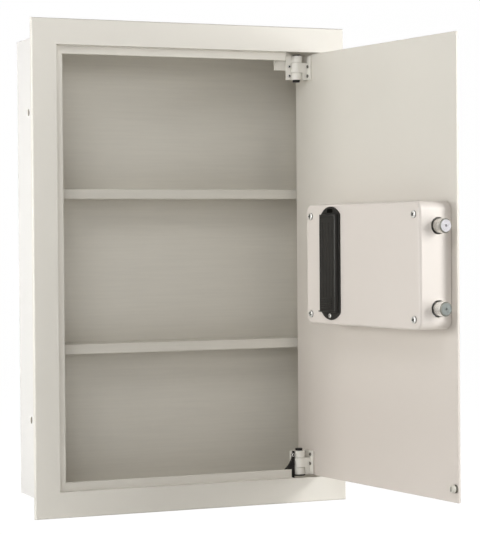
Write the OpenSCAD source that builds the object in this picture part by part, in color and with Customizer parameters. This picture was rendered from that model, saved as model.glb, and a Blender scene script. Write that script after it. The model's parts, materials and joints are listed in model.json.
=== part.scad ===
// Flush wall safe for the space between two wall studs: a welded steel box, a front
// frame that covers the edge of the wall opening, a plate door that stands open,
// two shelves, and an electronic lock with two round bolts on the back of the door.
// Origin: middle of the wall opening, in the plane of the wall's surface.
// X points to the hinge side, Y into the wall, Z up. Sizes are in millimetres.
// Pieces on the door are written as they lie with the door shut, then swung open.

/* [Front frame] */
// Side of the box to the outer edge of the frame
flange_lap_x = 12; // [9:0.5:20]
// Top or bottom of the box to the outer edge of the frame
flange_lap_z = 18.5; // [14:0.5:24]
// Front face of the frame to the wall's surface
flange_d = 5.5; // [4.5:0.5:9]
// Thickness of the frame's sheet
frame_sheet = 1.5; // [1:0.1:2]
// Bend radius along the frame's outer edge
frame_bend_r = 2.5; // [1.5:0.5:4]
// Width of the frame's face round the door
band = 29.25; // [27:0.25:33]
// Front face of the frame to the front of the door stop
stop_depth = 9.4; // [9:0.1:10.5]
// Width of the door stop inside the opening
stop_w = 8.7; // [7:0.1:8.9]
// Hinge axis to the end of the upper door stop
stop_end_top = 16.5; // [13:0.5:30]
// Hinge axis to the end of the lower door stop
stop_end_bottom = 12.5; // [10:0.5:30]

/* [Box] */
// Outside width of the box
box_w = 360; // [340:1:400]
// Outside height of the box
box_h = 522; // [460:1:620]
// Wall's surface to the back of the box
box_d = 92.5; // [80:0.5:140]
// Thickness of the box's sheet
box_sheet = 1.5; // [1:0.1:3]
// Radius of the four holes for stud screws
side_hole_r = 4; // [2:0.25:6]
// Distance between the two holes of one side
side_hole_pitch = 350; // [200:5:440]
// Wall's surface to the stud screw holes
side_hole_back = 48; // [25:1:70]
// How far the stud screw holes sit over the middle of the box
side_hole_rise = 2; // [-10:0.5:10]

/* [Shelves] */
// Thickness of a shelf's sheet
shelf_sheet = 1.5; // [1:0.1:2.5]
// Height of the shelf's folded front edge
shelf_lip_h = 11.5; // [8:0.5:18]
// Wall's surface to the front of the shelves
shelf_front = 47.5; // [46:0.5:60]
// Height of the upper shelf's top face
upper_shelf_z = 90.5; // [60:0.5:140]
// Height of the lower shelf's top face
lower_shelf_z = -88; // [-140:0.5:-50]
// Gap round a shelf
shelf_gap = 0.3; // [0.2:0.1:2]
// Radius of a shelf pin
shelf_pin_r = 2.5; // [1.5:0.25:4]
// How far a shelf pin reaches into the box
shelf_pin_reach = 9; // [6:0.5:14]
// Shelf's edge to the middle of the nearest pin
shelf_pin_inset = 9; // [6:0.5:14]

/* [Door] */
// Thickness of the door plate
door_t = 3; // [2:0.25:4]
// Gap between the door's free edge and the frame
free_gap = 1.5; // [1:0.1:3]
// Gap between the door's hinge edge and the frame
hinge_gap = 2; // [2:0.1:4]
// Gap over and under the door
end_gap = 1.5; // [1:0.1:3]
// Angle at which the door stands open
door_open = 97; // [60:1:110]
// Radius of the door's bumper
bumper_r = 4.75; // [3:0.25:5]
// Bumper's middle to the door's free edge
bumper_inset_x = 5; // [4:0.25:7]
// Bumper's middle to the door's lower edge
bumper_inset_z = 15; // [8:0.5:60]
// Gap between the bumper and the door stop with the door shut
bumper_gap = 0.3; // [0.2:0.1:2]

/* [Hinges] */
// Hinge axis to the door's hinge edge
hinge_inset = 23; // [22.5:0.25:26]
// Hinge axis behind the door's inner face
hinge_back = 13.25; // [12.75:0.25:16]
// Radius of the hinge barrel
barrel_r = 7; // [5:0.25:8]
// Height of the hinge barrel
barrel_h = 28; // [25:1:40]
// Upper barrel's end to the door's upper edge
barrel_inset = 2; // [2:0.25:12]
// Lower barrel's end to the door's lower edge
low_barrel_inset = 1; // [0.75:0.25:12]
// Height of each of the frame leaf's two knuckles
knuckle_h = 8; // [6:0.5:9]
// Gap between two knuckles
knuckle_gap = 0.3; // [0.2:0.05:1]
// Radius of the hinge pin
hinge_pin_r = 3; // [2:0.25:3.5]
// Radial clearance of the hinge pin
hinge_pin_fit = 0.05; // [0.02:0.01:0.1]
// Thickness of the hinge leaves
leaf_t = 2; // [1.5:0.25:3]
// Width of the upper frame leaf beside the barrel
frame_leaf_w = 6; // [5:0.5:13]
// Width of the door leaf beside the hinge axis
door_leaf_w = 13.5; // [12:0.5:20]
// Distance between the two screws of a leaf
leaf_screw_pitch = 11; // [9:0.5:16]
// How far the leaf screws sit towards the middle of the door
leaf_screw_drop = 4; // [0:0.5:4.5]
// Radius of a leaf screw's head
leaf_screw_head_r = 2; // [2:0.25:2.5]
// Thickness of the hinge brackets
bracket_t = 3; // [2:0.25:5]
// Width of the upper hinge bracket
bracket_w = 20; // [16:0.5:30]
// Height of the wide part of the upper bracket over the barrel's lower end
bracket_step = 11; // [8:0.5:20]
// Width of the lower hinge bracket
low_bracket_w = 29; // [20:0.5:40]
// Radius of the lower bracket's hollow edge
low_bracket_arc_r = 27; // [15:0.5:28]

/* [Lock cover] */
// Length of the lock cover
cover_w = 224.5; // [217:0.5:240]
// Height of the lock cover
cover_h = 136; // [134:0.5:150]
// Depth of the lock cover
cover_d = 41; // [40:0.5:42]
// Thickness of the lock cover's wall
cover_sheet = 1.5; // [1:0.1:2.5]
// Corner radius of the lock cover
cover_corner_r = 10; // [6:0.5:12]
// Edge radius of the lock cover's face
cover_edge_r = 3; // [2.75:0.25:4]
// Door's free edge to the cover's end wall
cover_inset = 9.75; // [9.25:0.25:12]
// Height of the lock's middle over the door's middle
lock_z = 0.5; // [-60:0.5:60]
// How far the cover sits over the lock's middle
cover_rise = 2; // [0:0.5:4]
// Cover's end to its nearest screws
cover_screw_inset_x = 10.25; // [9:0.25:12]
// Cover's upper or lower side to its nearest screws, with the screws centred
cover_screw_inset_z = 12.5; // [11.5:0.25:13]
// Radius of a cover screw's head
cover_screw_head_r = 4.25; // [3:0.25:4.5]
// Radius of the posts that carry the cover
post_r = 3; // [2.75:0.05:3.2]

/* [Bolts] */
// Radius of a bolt
bolt_r = 7.75; // [7:0.05:7.8]
// Distance between the two bolts
bolt_pitch = 87.5; // [84:0.5:88]
// Height of the bolts over the door's inner face
bolt_h = 17; // [16.75:0.25:18]
// How far a thrown bolt stands out of the cover
bolt_out = 13.75; // [12:0.25:17]
// Travel of the bolts
bolt_throw = 15; // [13:0.5:15]
// Chamfer on a bolt's end
bolt_chamfer = 1.3; // [0.5:0.1:2.5]
// Radius of a bolt's riveted shank
shank_r = 5; // [4:0.25:6]
// Radial clearance of a bolt in its guide
bolt_fit = 0.05; // [0.02:0.01:0.1]
// Radial clearance of a bolt in the cover's end wall
cover_hole_gap = 1.4; // [1:0.1:2]
// Thickness of the bolt guide
guide_t = 2.5; // [2:0.25:3.5]
// Distance between the guide's two walls
guide_span = 15; // [12:0.5:16]
// Thickness of the bar that joins the bolts
bar_t = 4; // [3:0.25:5]
// Width of the bar that joins the bolts
bar_w = 16; // [14:0.5:18]

/* [Knob and cam] */
// Turn of the knob between thrown and drawn
knob_turn = 90; // [80:1:90]
// Radius of the knob
knob_r = 18; // [14:0.5:20]
// Depth of the knob
knob_d = 16; // [12:0.5:24]
// Radius of the knob's spindle
spindle_r = 4; // [3.5:0.25:5]
// Radial clearance of the spindle
spindle_fit = 0.05; // [0.02:0.01:0.1]
// Outer radius of the spindle's bushing
bushing_r = 7; // [6.5:0.25:8]
// Radius of the cam's pin
cam_pin_r = 2.5; // [2:0.25:3]
// Gap between the cam pin and its slot
cam_pin_gap = 0.5; // [0.45:0.05:0.8]
// Thickness of the cam
cam_t = 3; // [2:0.25:3.25]
// Thickness of the yoke that the cam pin drives
yoke_t = 3; // [2:0.25:3.5]

/* [Solenoid] */
// Radius of the solenoid's plunger
plunger_r = 3; // [2.5:0.25:3.5]
// Travel of the plunger
plunger_throw = 4.5; // [4:0.25:5]
// How far a dropped plunger reaches into its notch
notch_depth = 4; // [3:0.25:4]
// Width of the solenoid's coil
coil_w = 20; // [16:0.5:22]
// Length of the solenoid's coil
coil_l = 24; // [20:0.5:26]
// Thickness of the solenoid's frame
solenoid_sheet = 1.5; // [1:0.1:2]
// Radial clearance of the plunger in the coil
plunger_fit = 0.1; // [0.05:0.01:0.1]

/* [Battery case] */
// Width of the battery case
battery_w = 37.5; // [36:0.5:42]
// Length of the battery case
battery_l = 110; // [109:0.5:112]
// Hinge end of the cover to the battery case
battery_inset = 34.5; // [30:0.5:42]
// How far the battery case sits over the middle of the cover
battery_rise = 1; // [-1:0.5:1.5]
// Rim of the battery case over the cover's face
battery_rim = 2; // [1.5:0.25:3]
// Height of the battery lid over the rim
battery_lid_h = 4; // [3:0.25:4]
// Side of the battery case to the side of its lid
lid_inset = 2; // [1:0.25:3]
// How far a mounting ear reaches past the case
battery_ear = 8.6; // [7:0.1:9]
// Width of the pocket in the upper ear
ear_slot_w = 12; // [4:0.5:12]
// Wall of the battery case
battery_wall = 1.5; // [1:0.1:2]
// Radius of a battery cell
cell_r = 7.25; // [7:0.05:7.3]
// Length of a battery cell
cell_l = 50.5; // [50:0.1:50.7]

/* [Keypad] */
// Width of the keypad's housing
pad_w = 162; // [158:1:170]
// Height of the keypad's housing
pad_h = 92; // [88:1:110]
// Depth of the keypad's housing
pad_d = 10; // [9:0.5:14]
// Wall of the keypad's housing
pad_wall = 2; // [1.5:0.1:2.5]
// Distance between two keys
key_pitch = 17; // [16:0.5:18]
// Width of a key
key_w = 12.5; // [11:0.25:13]
// Height of a key
key_h = 11; // [9:0.25:13]
// How far a key stands out of the housing
key_out = 1.5; // [1.3:0.1:3]
// Travel of a key
key_travel = 1.2; // [0.6:0.1:1.2]
// Gap round a key
key_gap = 0.3; // [0.2:0.05:0.5]
// Thickness of the circuit boards
board_t = 1.6; // [1:0.1:2]

/* [Override lock] */
// Radius of the lock's body
cylinder_r = 9; // [8:0.25:9.5]
// Radius of the lock's plug
plug_r = 6; // [5:0.25:6.5]
// Radial clearance of the plug
plug_fit = 0.05; // [0.02:0.01:0.1]
// Length of the lock's body behind the door's inner face
cylinder_l = 20; // [16:0.5:22]
// Length of the cam on the plug
plug_cam_l = 18; // [12:0.5:18]

/* [Hidden] */
$fn = 64;
touch = 0.01;
cut = 1;

// Frame, opening, door and hinge axis, with the door shut
flange_w = box_w + 2 * flange_lap_x;
flange_h = box_h + 2 * flange_lap_z;
front_y = -flange_d;
open_x = flange_w / 2 - band;
open_z = flange_h / 2 - band;
door_x0 = free_gap - open_x;
door_x1 = open_x - hinge_gap;
door_z = open_z - end_gap;
inner_y = front_y + door_t;
axis_x = door_x1 - hinge_inset;
axis_y = inner_y + hinge_back;

// Front frame and box
sheet_back_y = front_y + frame_sheet;
stop_y = front_y + stop_depth;
stop_back_y = stop_y + frame_sheet;
wall_x = box_w / 2 - box_sheet;
wall_z = box_h / 2 - box_sheet;
back_y = box_d - box_sheet;

// Hinges: middle of the upper barrel, and the leaves' faces
barrel_z = door_z - barrel_inset - barrel_h / 2;
low_barrel_z = door_z - low_barrel_inset - barrel_h / 2;
leaf_face_y = axis_y - leaf_t / 2;
leaf_back_y = leaf_face_y + leaf_t;
leaf_side_x = axis_x - barrel_r - 0.5;
low_leaf_w = 2 * leaf_screw_head_r;
neck_w = 2 * leaf_screw_head_r + 0.75;
leaf_screw_r = 1.25;
leaf_screw_head_h = 1.4;
leaf_screw_depth = 2.4;
pin_head_r = hinge_pin_r + 1.25;
pin_head_h = 2.75;
pin_end_h = 1.5;
washer_rim = 0.25;

// Lock: the cover, and places that are measured from its end wall
cover_x0 = door_x0 + cover_inset;
cover_x1 = cover_x0 + cover_w;
cover_mid_x = (cover_x0 + cover_x1) / 2;
cover_mid_z = lock_z + cover_rise;
cover_screw_drop = 1.5;
screw_thread_r = 1.6;
screw_head_h = 2.2;
recess_w = 1;
recess_depth = 1.2;

bolt_tip_x = cover_x0 - bolt_out;
guide_inset = 15;
guide_x = cover_x0 + guide_inset;
guide_end_x = guide_x + guide_span + 2 * guide_t;
bar_gap = 8;
bar_x = guide_end_x + bar_gap;
bar_h0 = bolt_h - bar_w / 2;
shank_head = 2;

cam_r = bolt_throw / 2 / sin(knob_turn / 2);
cam_rise = cam_r * cos(knob_turn / 2);
yoke_drop = 5;
yoke_gap = 4;
yoke_half = 8;
yoke_low = 3;
yoke_h0 = bolt_h - yoke_drop;
cam_h0 = yoke_h0 - yoke_gap - cam_t;
cam_rim = 1;
cam_disc_r = cam_r + cam_pin_r + cam_rim;
cam_pin_past = 1.5;
yoke_reach = 15;
knob_x = bar_x + bar_t + yoke_reach + bolt_throw / 2;
slot_x = knob_x - bolt_throw / 2;
spindle_end_h = yoke_h0 - yoke_gap / 2;
spindle_grip = 4;

// Carriage tail and solenoid plunger, above the knob's spindle
tail_over = 7;
tail_h = 12;
tail_past = 8;
tail_z1 = lock_z + cam_r + cam_pin_r + tail_over;
tail_z0 = tail_z1 - tail_h;
plunger_offset = 19;
plunger_x = slot_x + plunger_offset;
plunger_gap = 0.4;
tail_x1 = plunger_x + plunger_r + tail_past;
plunger_tip_z = tail_z1 + plunger_throw - notch_depth;
plunger_h = yoke_h0 + yoke_t / 2;
coil_flange = 1.5;
coil_end_room = 3;
spring_r = plunger_r + 1.1;
spring_wire_r = 0.4;
spring_turns = 5;
spring_l = 6;
spring_steps = 24;
spring_sides = 6;
collar_rim = 2;
collar_r = plunger_r + collar_rim;
collar_t = 1;
collar_over = 1;
collar_z = plunger_tip_z + plunger_throw + collar_over;
coil_z0 = collar_z + collar_t + spring_l + solenoid_sheet;

// Battery case
battery_x = cover_x1 - battery_inset - battery_w / 2;
battery_z = cover_mid_z + battery_rise;
rim_h = cover_d + battery_rim;
tray_gap = 0.4;
cell_clear = 0.4;
cell_top_gap = 1;
tray_floor_h = cover_d - 2 * cell_r - cell_clear - battery_wall - cell_top_gap;
cell_h = tray_floor_h + battery_wall + cell_r + cell_clear / 2;
ear_r = (battery_w * battery_w / 4 + battery_ear * battery_ear) / (2 * battery_ear);
ear_hole_r = 2;
lid_chamfer = 1.2;

// Override lock, beside the knob and above its spindle
lock_gap_x = 18;
lock_gap_z = 4;
lock_x = plunger_x + collar_r + cylinder_r + lock_gap_x;
lock_hole_z = tail_z1 + cylinder_r + lock_gap_z;
nut_t = 3;
nut_rim = 3.5;
nut_r = cylinder_r + nut_rim;
rose_t = 1.2;
rose_rim = 2;
plug_cam_t = 2;
plug_cam_r = 4;
plug_cam_gap = 0.4;
plug_cam_h = cylinder_l + plug_cam_gap;
keyway_w = 1.6;
keyway_l = 7;

// Keypad, in front of the door, with its keys beside the override lock
key_lock_gap = 15.5;
key_x = lock_x + cylinder_r + rose_rim + key_lock_gap + 1.5 * key_pitch;
key_inset = 8;
pad_x1 = key_x + 1.5 * key_pitch + key_inset;
pad_x = pad_x1 - pad_w / 2;
pad_z = lock_z;
pad_edge_r = 2;
pad_corner_r = 5;
key_flange = 1.2;
key_flange_out = 1;
key_play = 0.2;
key_back_g = pad_d - pad_wall - key_play - key_flange;
dome_top_g = key_back_g - key_travel - key_play;
mat_t = 0.8;
board_g = 2;
mat_g = board_g + board_t;
dome_r = 3;
pad_board_rim = 3;
pad_board_w = 3 * key_pitch + 2 * pad_board_rim;
pad_board_h = 4 * key_pitch + 2 * pad_board_rim;
light_r = 1.5;
light_pitch = 7;
light_offset = 10;
light_drop = 20;
light_x = key_x - 1.5 * key_pitch - light_offset;

// Circuit board behind the door
board_gap = 4;
board_x0 = knob_x + cam_disc_r + board_gap;
board_side_gap = 5;
board_x1 = battery_x - battery_w / 2 - board_side_gap;
board_z0 = cover_mid_z - cover_h / 2 + cover_sheet + board_gap;
board_top_gap = 6;
board_z1 = tail_z0 - board_top_gap;
board_h = 5;
board_foot_r = 2.5;
board_foot_inset = 4;
wire_hole_r = 5;
wire_hole_inset = 8;

// Parts on the circuit board: a chip, two capacitors and a socket
chip_w = 14;
chip_t = 2.2;
chip_dx = -8;
chip_rise = 20;
big_can_r = 5;
big_can_l = 7;
big_can_rise = 16;
small_can_r = 3;
small_can_l = 9;
small_can_rise = 34;
can_dx = 12;
socket_w = 12;
socket_d = 6;
socket_l = 7;
socket_rise = 40;

steel = "silver";
zinc = "gainsboro";
paint = "antiquewhite";
black = [0.16, 0.16, 0.15];

// Block between two opposite corners
module block(low, high) {
    translate(low) cube(high - low);
}

// Swings what is written for a shut door to where it stands
module on_door() {
    translate([axis_x, axis_y, 0]) rotate([0, 0, door_open])
        translate([-axis_x, -axis_y, 0]) children();
}

// Local Z points into the box, from the height h over the door's inner face
module inside(x, z, h = 0) {
    translate([x, inner_y + h, z]) rotate([-90, 0, 0]) children();
}

// Local Z points to the front, from the height g over the door's front face
module outside(x, z, g = 0) {
    translate([x, front_y - g, z]) rotate([90, 0, 0]) children();
}

// Rod along X
module rod_x(x0, x1, r) {
    translate([x0, 0, 0]) rotate([0, 90, 0]) cylinder(h = x1 - x0, r = r);
}

// Plate with four rounded corners, centred, standing on its plane
module round_plate(w, l, t, r) {
    linear_extrude(t) {
        square([w - 2 * r, l], center = true);
        square([w, l - 2 * r], center = true);
        for (sx = [-1, 1], sy = [-1, 1])
            translate([sx * (w / 2 - r), sy * (l / 2 - r)]) circle(r);
    }
}

// Box with rounded corners whose upper edge is rounded too, standing on its plane
module soft_box(w, l, h, corner, edge) {
    round_plate(w, l, h - edge, corner);
    round_plate(w - 2 * edge, l - 2 * edge, h, corner - edge);
    translate([0, 0, h - edge]) {
        for (s = [-1, 1]) {
            translate([0, s * (l / 2 - edge), 0]) rotate([0, 90, 0])
                cylinder(h = w - 2 * corner, r = edge, center = true);
            translate([s * (w / 2 - edge), 0, 0]) rotate([90, 0, 0])
                cylinder(h = l - 2 * corner, r = edge, center = true);
            for (q = [-1, 1])
                translate([s * (w / 2 - corner), q * (l / 2 - corner), 0])
                    rotate_extrude() translate([corner - edge, 0]) intersection() {
                        circle(edge);
                        translate([0, -edge]) square([edge, 2 * edge]);
                    }
        }
    }
}

// Screw with a cross recess: head on its plane, thread below
module cross_screw(head_r, head_h, thread_r, thread_l) {
    difference() {
        union() {
            cylinder(h = head_h * 0.55, r = head_r);
            translate([0, 0, head_h * 0.55])
                cylinder(h = head_h * 0.45, r1 = head_r, r2 = head_r * 0.72);
            translate([0, 0, -thread_l]) cylinder(h = thread_l, r = thread_r);
        }
        for (a = [0, 90])
            rotate([0, 0, a]) translate([-head_r * 0.6, -recess_w / 2, head_h - recess_depth])
                cube([head_r * 1.2, recess_w, recess_depth + cut]);
    }
}

// Cutter that rounds one long front edge of the frame
module edge_cutter(l) {
    translate([0, 0, -l / 2]) linear_extrude(l) difference() {
        translate([-cut, -cut]) square(frame_bend_r + cut);
        translate([frame_bend_r, frame_bend_r]) circle(frame_bend_r);
    }
}

// Folded front frame: face, rim back to the wall, reveals and door stop
module front_frame() {
    rim_x = flange_w / 2;
    rim_z = flange_h / 2;
    color(paint) {
        difference() {
            block([-rim_x, front_y, -rim_z], [rim_x, 0, rim_z]);
            block([frame_sheet - rim_x, sheet_back_y, frame_sheet - rim_z],
                  [rim_x - frame_sheet, cut, rim_z - frame_sheet]);
            block([-open_x, front_y - cut, -open_z], [open_x, cut, open_z]);
            for (m = [0, 1]) mirror([m, 0, 0]) translate([-rim_x, front_y, 0])
                edge_cutter(flange_h + 2 * cut);
            for (m = [0, 1]) mirror([0, 0, m]) translate([0, front_y, -rim_z])
                rotate([0, -90, 0]) edge_cutter(flange_w + 2 * cut);
        }
        reveal_side();
        reveal_end(1, axis_x - stop_end_top);
        reveal_end(-1, axis_x - stop_end_bottom);
    }
}

module reveal_side() {
    outer = -open_x - frame_sheet;
    z1 = open_z + frame_sheet;
    block([outer, sheet_back_y, -z1], [-open_x, stop_back_y, z1]);
    block([-open_x, stop_y, -open_z], [stop_w - open_x, stop_back_y, open_z]);
}

module reveal_end(side, x1) {
    mirror([0, 0, side > 0 ? 0 : 1]) {
        block([-open_x, sheet_back_y, open_z], [x1, stop_back_y, open_z + frame_sheet]);
        block([stop_w - open_x, stop_y, open_z - stop_w], [x1, stop_back_y, open_z]);
    }
}

// Wrapped sheet of the box's four sides, with the stud screw holes
module cabinet_box() {
    color(paint) difference() {
        block([-box_w / 2, sheet_back_y, -box_h / 2], [box_w / 2, box_d, box_h / 2]);
        block([-wall_x, sheet_back_y - cut, -wall_z], [wall_x, box_d + cut, wall_z]);
        for (s = [-1, 1]) translate([0, side_hole_back, side_hole_rise + s * side_hole_pitch / 2])
            rod_x(-box_w / 2 - cut, box_w / 2 + cut, side_hole_r);
    }
}

module back_panel() {
    color(paint) block([-wall_x, back_y, -wall_z], [wall_x, box_d, wall_z]);
}

function pin_ys() = [shelf_front + shelf_pin_inset, back_y - shelf_pin_inset];
function pin_z(shelf_z) = shelf_z - shelf_sheet - shelf_pin_r - 0.05;

// Shelf with its front edge folded down
module shelf(z) {
    half = wall_x - shelf_gap;
    color(paint) {
        block([-half, shelf_front, z - shelf_sheet], [half, back_y - shelf_gap, z]);
        block([-half, shelf_front, z - shelf_lip_h], [half, shelf_front + shelf_sheet, z - shelf_sheet]);
    }
}

module upper_shelf() {
    shelf(upper_shelf_z);
}

module lower_shelf() {
    shelf(lower_shelf_z);
}

// Eight studs welded to the side walls, which the shelves rest on
module shelf_pins() {
    color(zinc) for (m = [0, 1], z = [upper_shelf_z, lower_shelf_z], y = pin_ys())
        mirror([m, 0, 0]) translate([0, y, pin_z(z)])
            rod_x(wall_x - shelf_pin_reach, wall_x, shelf_pin_r);
}

// Hinges: written for the upper one, and mirrored for the lower one
module at_hinge(side) {
    mirror([0, 0, side > 0 ? 0 : 1]) translate([0, 0, side > 0 ? barrel_z : low_barrel_z]) children();
}

function leaf_screw_zs() = [-1, 1] * leaf_screw_pitch / 2 - [1, 1] * leaf_screw_drop;

module leaf_screw_holes(x, y0, y1) {
    for (z = leaf_screw_zs()) translate([x, y0, z]) rotate([-90, 0, 0])
        cylinder(h = y1 - y0, r = leaf_screw_r);
}

function frame_screw_x() = leaf_side_x - leaf_screw_head_r - 0.1;
function door_screw_x() = axis_x - door_leaf_w / 2 - 1;

module pin_bore() {
    translate([axis_x, axis_y, -barrel_h]) cylinder(h = 2 * barrel_h, r = hinge_pin_r + hinge_pin_fit);
}

// Leaf of the frame: plate beside the barrel, and the two outer knuckles
module frame_leaf(side) {
    width = side > 0 ? frame_leaf_w : low_leaf_w;
    color(paint) at_hinge(side) {
        difference() {
            union() {
                block([leaf_side_x - width, leaf_face_y, -barrel_h / 2],
                      [leaf_side_x, leaf_back_y, barrel_h / 2]);
                for (m = [0, 1]) mirror([0, 0, m]) {
                    block([leaf_side_x - touch, leaf_face_y, barrel_h / 2 - knuckle_h],
                          [axis_x, leaf_back_y, barrel_h / 2]);
                    translate([axis_x, axis_y, barrel_h / 2 - knuckle_h])
                        cylinder(h = knuckle_h, r = barrel_r);
                }
            }
            pin_bore();
            leaf_screw_holes(frame_screw_x(), leaf_face_y - cut, leaf_back_y + cut);
        }
    }
}

module upper_frame_leaf() {
    frame_leaf(1);
}

module lower_frame_leaf() {
    frame_leaf(-1);
}

// Leaf of the door: middle knuckle, neck and the plate on the door's inner face
module door_leaf(side) {
    half = barrel_h / 2 - knuckle_h - knuckle_gap;
    color(paint) on_door() at_hinge(side) difference() {
        union() {
            translate([axis_x, axis_y, -half]) cylinder(h = 2 * half, r = barrel_r);
            block([axis_x + barrel_r - leaf_t, inner_y + leaf_t, -half], [axis_x + barrel_r, axis_y, half]);
            block([axis_x - door_leaf_w, inner_y, -barrel_h / 2],
                  [axis_x + barrel_r, inner_y + leaf_t, barrel_h / 2]);
        }
        pin_bore();
        leaf_screw_holes(door_screw_x(), inner_y - cut, inner_y + leaf_t + cut);
    }
}

module upper_door_leaf() {
    door_leaf(1);
}

module lower_door_leaf() {
    door_leaf(-1);
}

// Dark pins, headed at both ends of their barrels; the lower one stands on a wide washer
module hinge_pins() {
    color(black) for (side = [-1, 1]) at_hinge(side) translate([axis_x, axis_y, 0]) {
        translate([0, 0, -barrel_h / 2]) cylinder(h = barrel_h, r = hinge_pin_r);
        translate([0, 0, -barrel_h / 2 - pin_head_h]) cylinder(h = pin_head_h, r = pin_head_r);
        translate([0, 0, barrel_h / 2])
            cylinder(h = pin_end_h, r = side > 0 ? pin_head_r : barrel_r + washer_rim);
    }
}

// Screws of the frame leaves: the lower ones pass through the bracket first
module frame_leaf_screws() {
    color(steel) for (side = [-1, 1]) at_hinge(side) for (z = leaf_screw_zs())
        translate([frame_screw_x(), side > 0 ? leaf_face_y : leaf_face_y - bracket_t, z]) rotate([90, 0, 0])
            cross_screw(leaf_screw_head_r, leaf_screw_head_h, leaf_screw_r, bracket_t + leaf_t);
}

module door_leaf_screws() {
    color(steel) on_door() for (side = [-1, 1]) at_hinge(side) for (z = leaf_screw_zs())
        translate([door_screw_x(), inner_y + leaf_t, z]) rotate([-90, 0, 0])
            cross_screw(leaf_screw_head_r, leaf_screw_head_h, leaf_screw_r, leaf_screw_depth + leaf_t);
}

// Upper bracket: plate from the box's top down behind the leaf
module upper_hinge_bracket() {
    step_z = barrel_z - barrel_h / 2 + bracket_step;
    color(paint) difference() {
        union() {
            block([leaf_side_x - bracket_w, leaf_back_y, step_z],
                  [leaf_side_x, leaf_back_y + bracket_t, wall_z]);
            block([leaf_side_x - neck_w, leaf_back_y, barrel_z - barrel_h / 2],
                  [leaf_side_x, leaf_back_y + bracket_t, step_z]);
            block([leaf_side_x - bracket_w, leaf_back_y + bracket_t, wall_z - bracket_t],
                  [leaf_side_x, leaf_back_y + 4 * bracket_t, wall_z]);
        }
        at_hinge(1) leaf_screw_holes(frame_screw_x(), leaf_back_y - cut, leaf_back_y + bracket_t + cut);
    }
}

// Lower bracket: plate with a hollow edge, up from the box's floor
module lower_hinge_bracket() {
    top_z = barrel_h / 2 - low_barrel_z;
    front = leaf_face_y - bracket_t;
    x0 = leaf_side_x - low_bracket_w;
    color(black) difference() {
        union() {
            block([x0, front, -wall_z], [leaf_side_x, leaf_face_y, top_z]);
            block([x0, leaf_face_y, -wall_z], [leaf_side_x, leaf_face_y + 4 * bracket_t, bracket_t - wall_z]);
        }
        translate([x0, front - cut, top_z]) rotate([-90, 0, 0])
            cylinder(h = bracket_t + 2 * cut, r = min(low_bracket_arc_r, low_bracket_w - 2));
        at_hinge(-1) leaf_screw_holes(frame_screw_x(), front - cut, leaf_face_y + cut);
    }
}

function cover_screw_places() = [for (sx = [-1, 1], sz = [-1, 1])
    [cover_mid_x + sx * (cover_w / 2 - cover_screw_inset_x),
     cover_mid_z - cover_screw_drop + sz * (cover_h / 2 - cover_screw_inset_z)]];

// Flat door plate, drilled for what passes through it
module door_panel() {
    color(paint) on_door() difference() {
        block([door_x0, front_y, -door_z], [door_x1, inner_y, door_z]);
        outside(knob_x, lock_z, -door_t - cut) cylinder(h = door_t + 2 * cut, r = bushing_r);
        outside(lock_x, lock_hole_z, -door_t - cut) cylinder(h = door_t + 2 * cut, r = cylinder_r + 0.1);
        outside(board_x1 - wire_hole_inset, lock_z, -door_t - cut)
            cylinder(h = door_t + 2 * cut, r = wire_hole_r);
        for (side = [-1, 1]) at_hinge(side)
            leaf_screw_holes(door_screw_x(), inner_y - leaf_screw_depth, inner_y + cut);
        bumper_place() translate([0, 0, -leaf_screw_depth])
            cylinder(h = leaf_screw_depth + cut, r = screw_thread_r);
    }
}

module bumper_place() {
    inside(door_x0 + bumper_inset_x, bumper_inset_z - door_z) children();
}

// Bumper that meets the door stop when the door shuts, with its slotted screw
module door_bumper() {
    height = stop_y - inner_y - bumper_gap;
    color(zinc) on_door() bumper_place() difference() {
        union() {
            cylinder(h = height - 1, r = bumper_r);
            translate([0, 0, height - 1]) cylinder(h = 1, r1 = bumper_r, r2 = bumper_r - 0.8);
            translate([0, 0, -leaf_screw_depth]) cylinder(h = leaf_screw_depth, r = screw_thread_r);
        }
        translate([-bumper_r, -0.6, height - 1.5]) cube([2 * bumper_r, 1.2, 1.5 + cut]);
    }
}

// Lock cover: pressed shell over the works, open for the bolts and the battery case
module lock_cover() {
    color(paint) on_door() difference() {
        inside(cover_mid_x, cover_mid_z)
            soft_box(cover_w, cover_h, cover_d, cover_corner_r, cover_edge_r);
        inside(cover_mid_x, cover_mid_z, -touch)
            soft_box(cover_w - 2 * cover_sheet, cover_h - 2 * cover_sheet, cover_d - cover_sheet + touch,
                     cover_corner_r - cover_sheet, cover_edge_r - cover_sheet);
        for (z = bolt_zs()) translate([0, inner_y + bolt_h, z])
            rod_x(cover_x0 - cut, cover_x0 + 2 * cover_sheet, bolt_r + cover_hole_gap);
        for (p = cover_screw_places()) inside(p[0], p[1], cover_d - 2 * cover_sheet)
            cylinder(h = 3 * cover_sheet, r = screw_thread_r + 0.3);
        inside(battery_x, battery_z, cover_d - 2 * cover_sheet)
            translate([-battery_hole_w() / 2, -battery_hole_l() / 2, 0])
                cube([battery_hole_w(), battery_hole_l(), 3 * cover_sheet]);
        inside(battery_x, battery_z - ear_hole_z(), cover_d - 2 * cover_sheet)
            cylinder(h = 3 * cover_sheet, r = screw_thread_r);
    }
}

function bolt_zs() = [lock_z - bolt_pitch / 2, lock_z + bolt_pitch / 2];
function battery_hole_w() = tray_w() + 2 * tray_gap;
function battery_hole_l() = tray_l() + 2 * tray_gap;
function tray_w() = 4 * cell_r + 2 * cell_clear + 2 * battery_wall;
function tray_l() = 2 * cell_l + 2 * contact_room() + 2 * battery_wall;
function contact_room() = 1.6;
function ear_hole_z() = battery_l / 2 + battery_ear / 2 - 0.5;

module cover_screws() {
    color(steel) on_door() for (p = cover_screw_places()) inside(p[0], p[1], cover_d)
        cross_screw(cover_screw_head_r, screw_head_h, screw_thread_r, 9);
}

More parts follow.
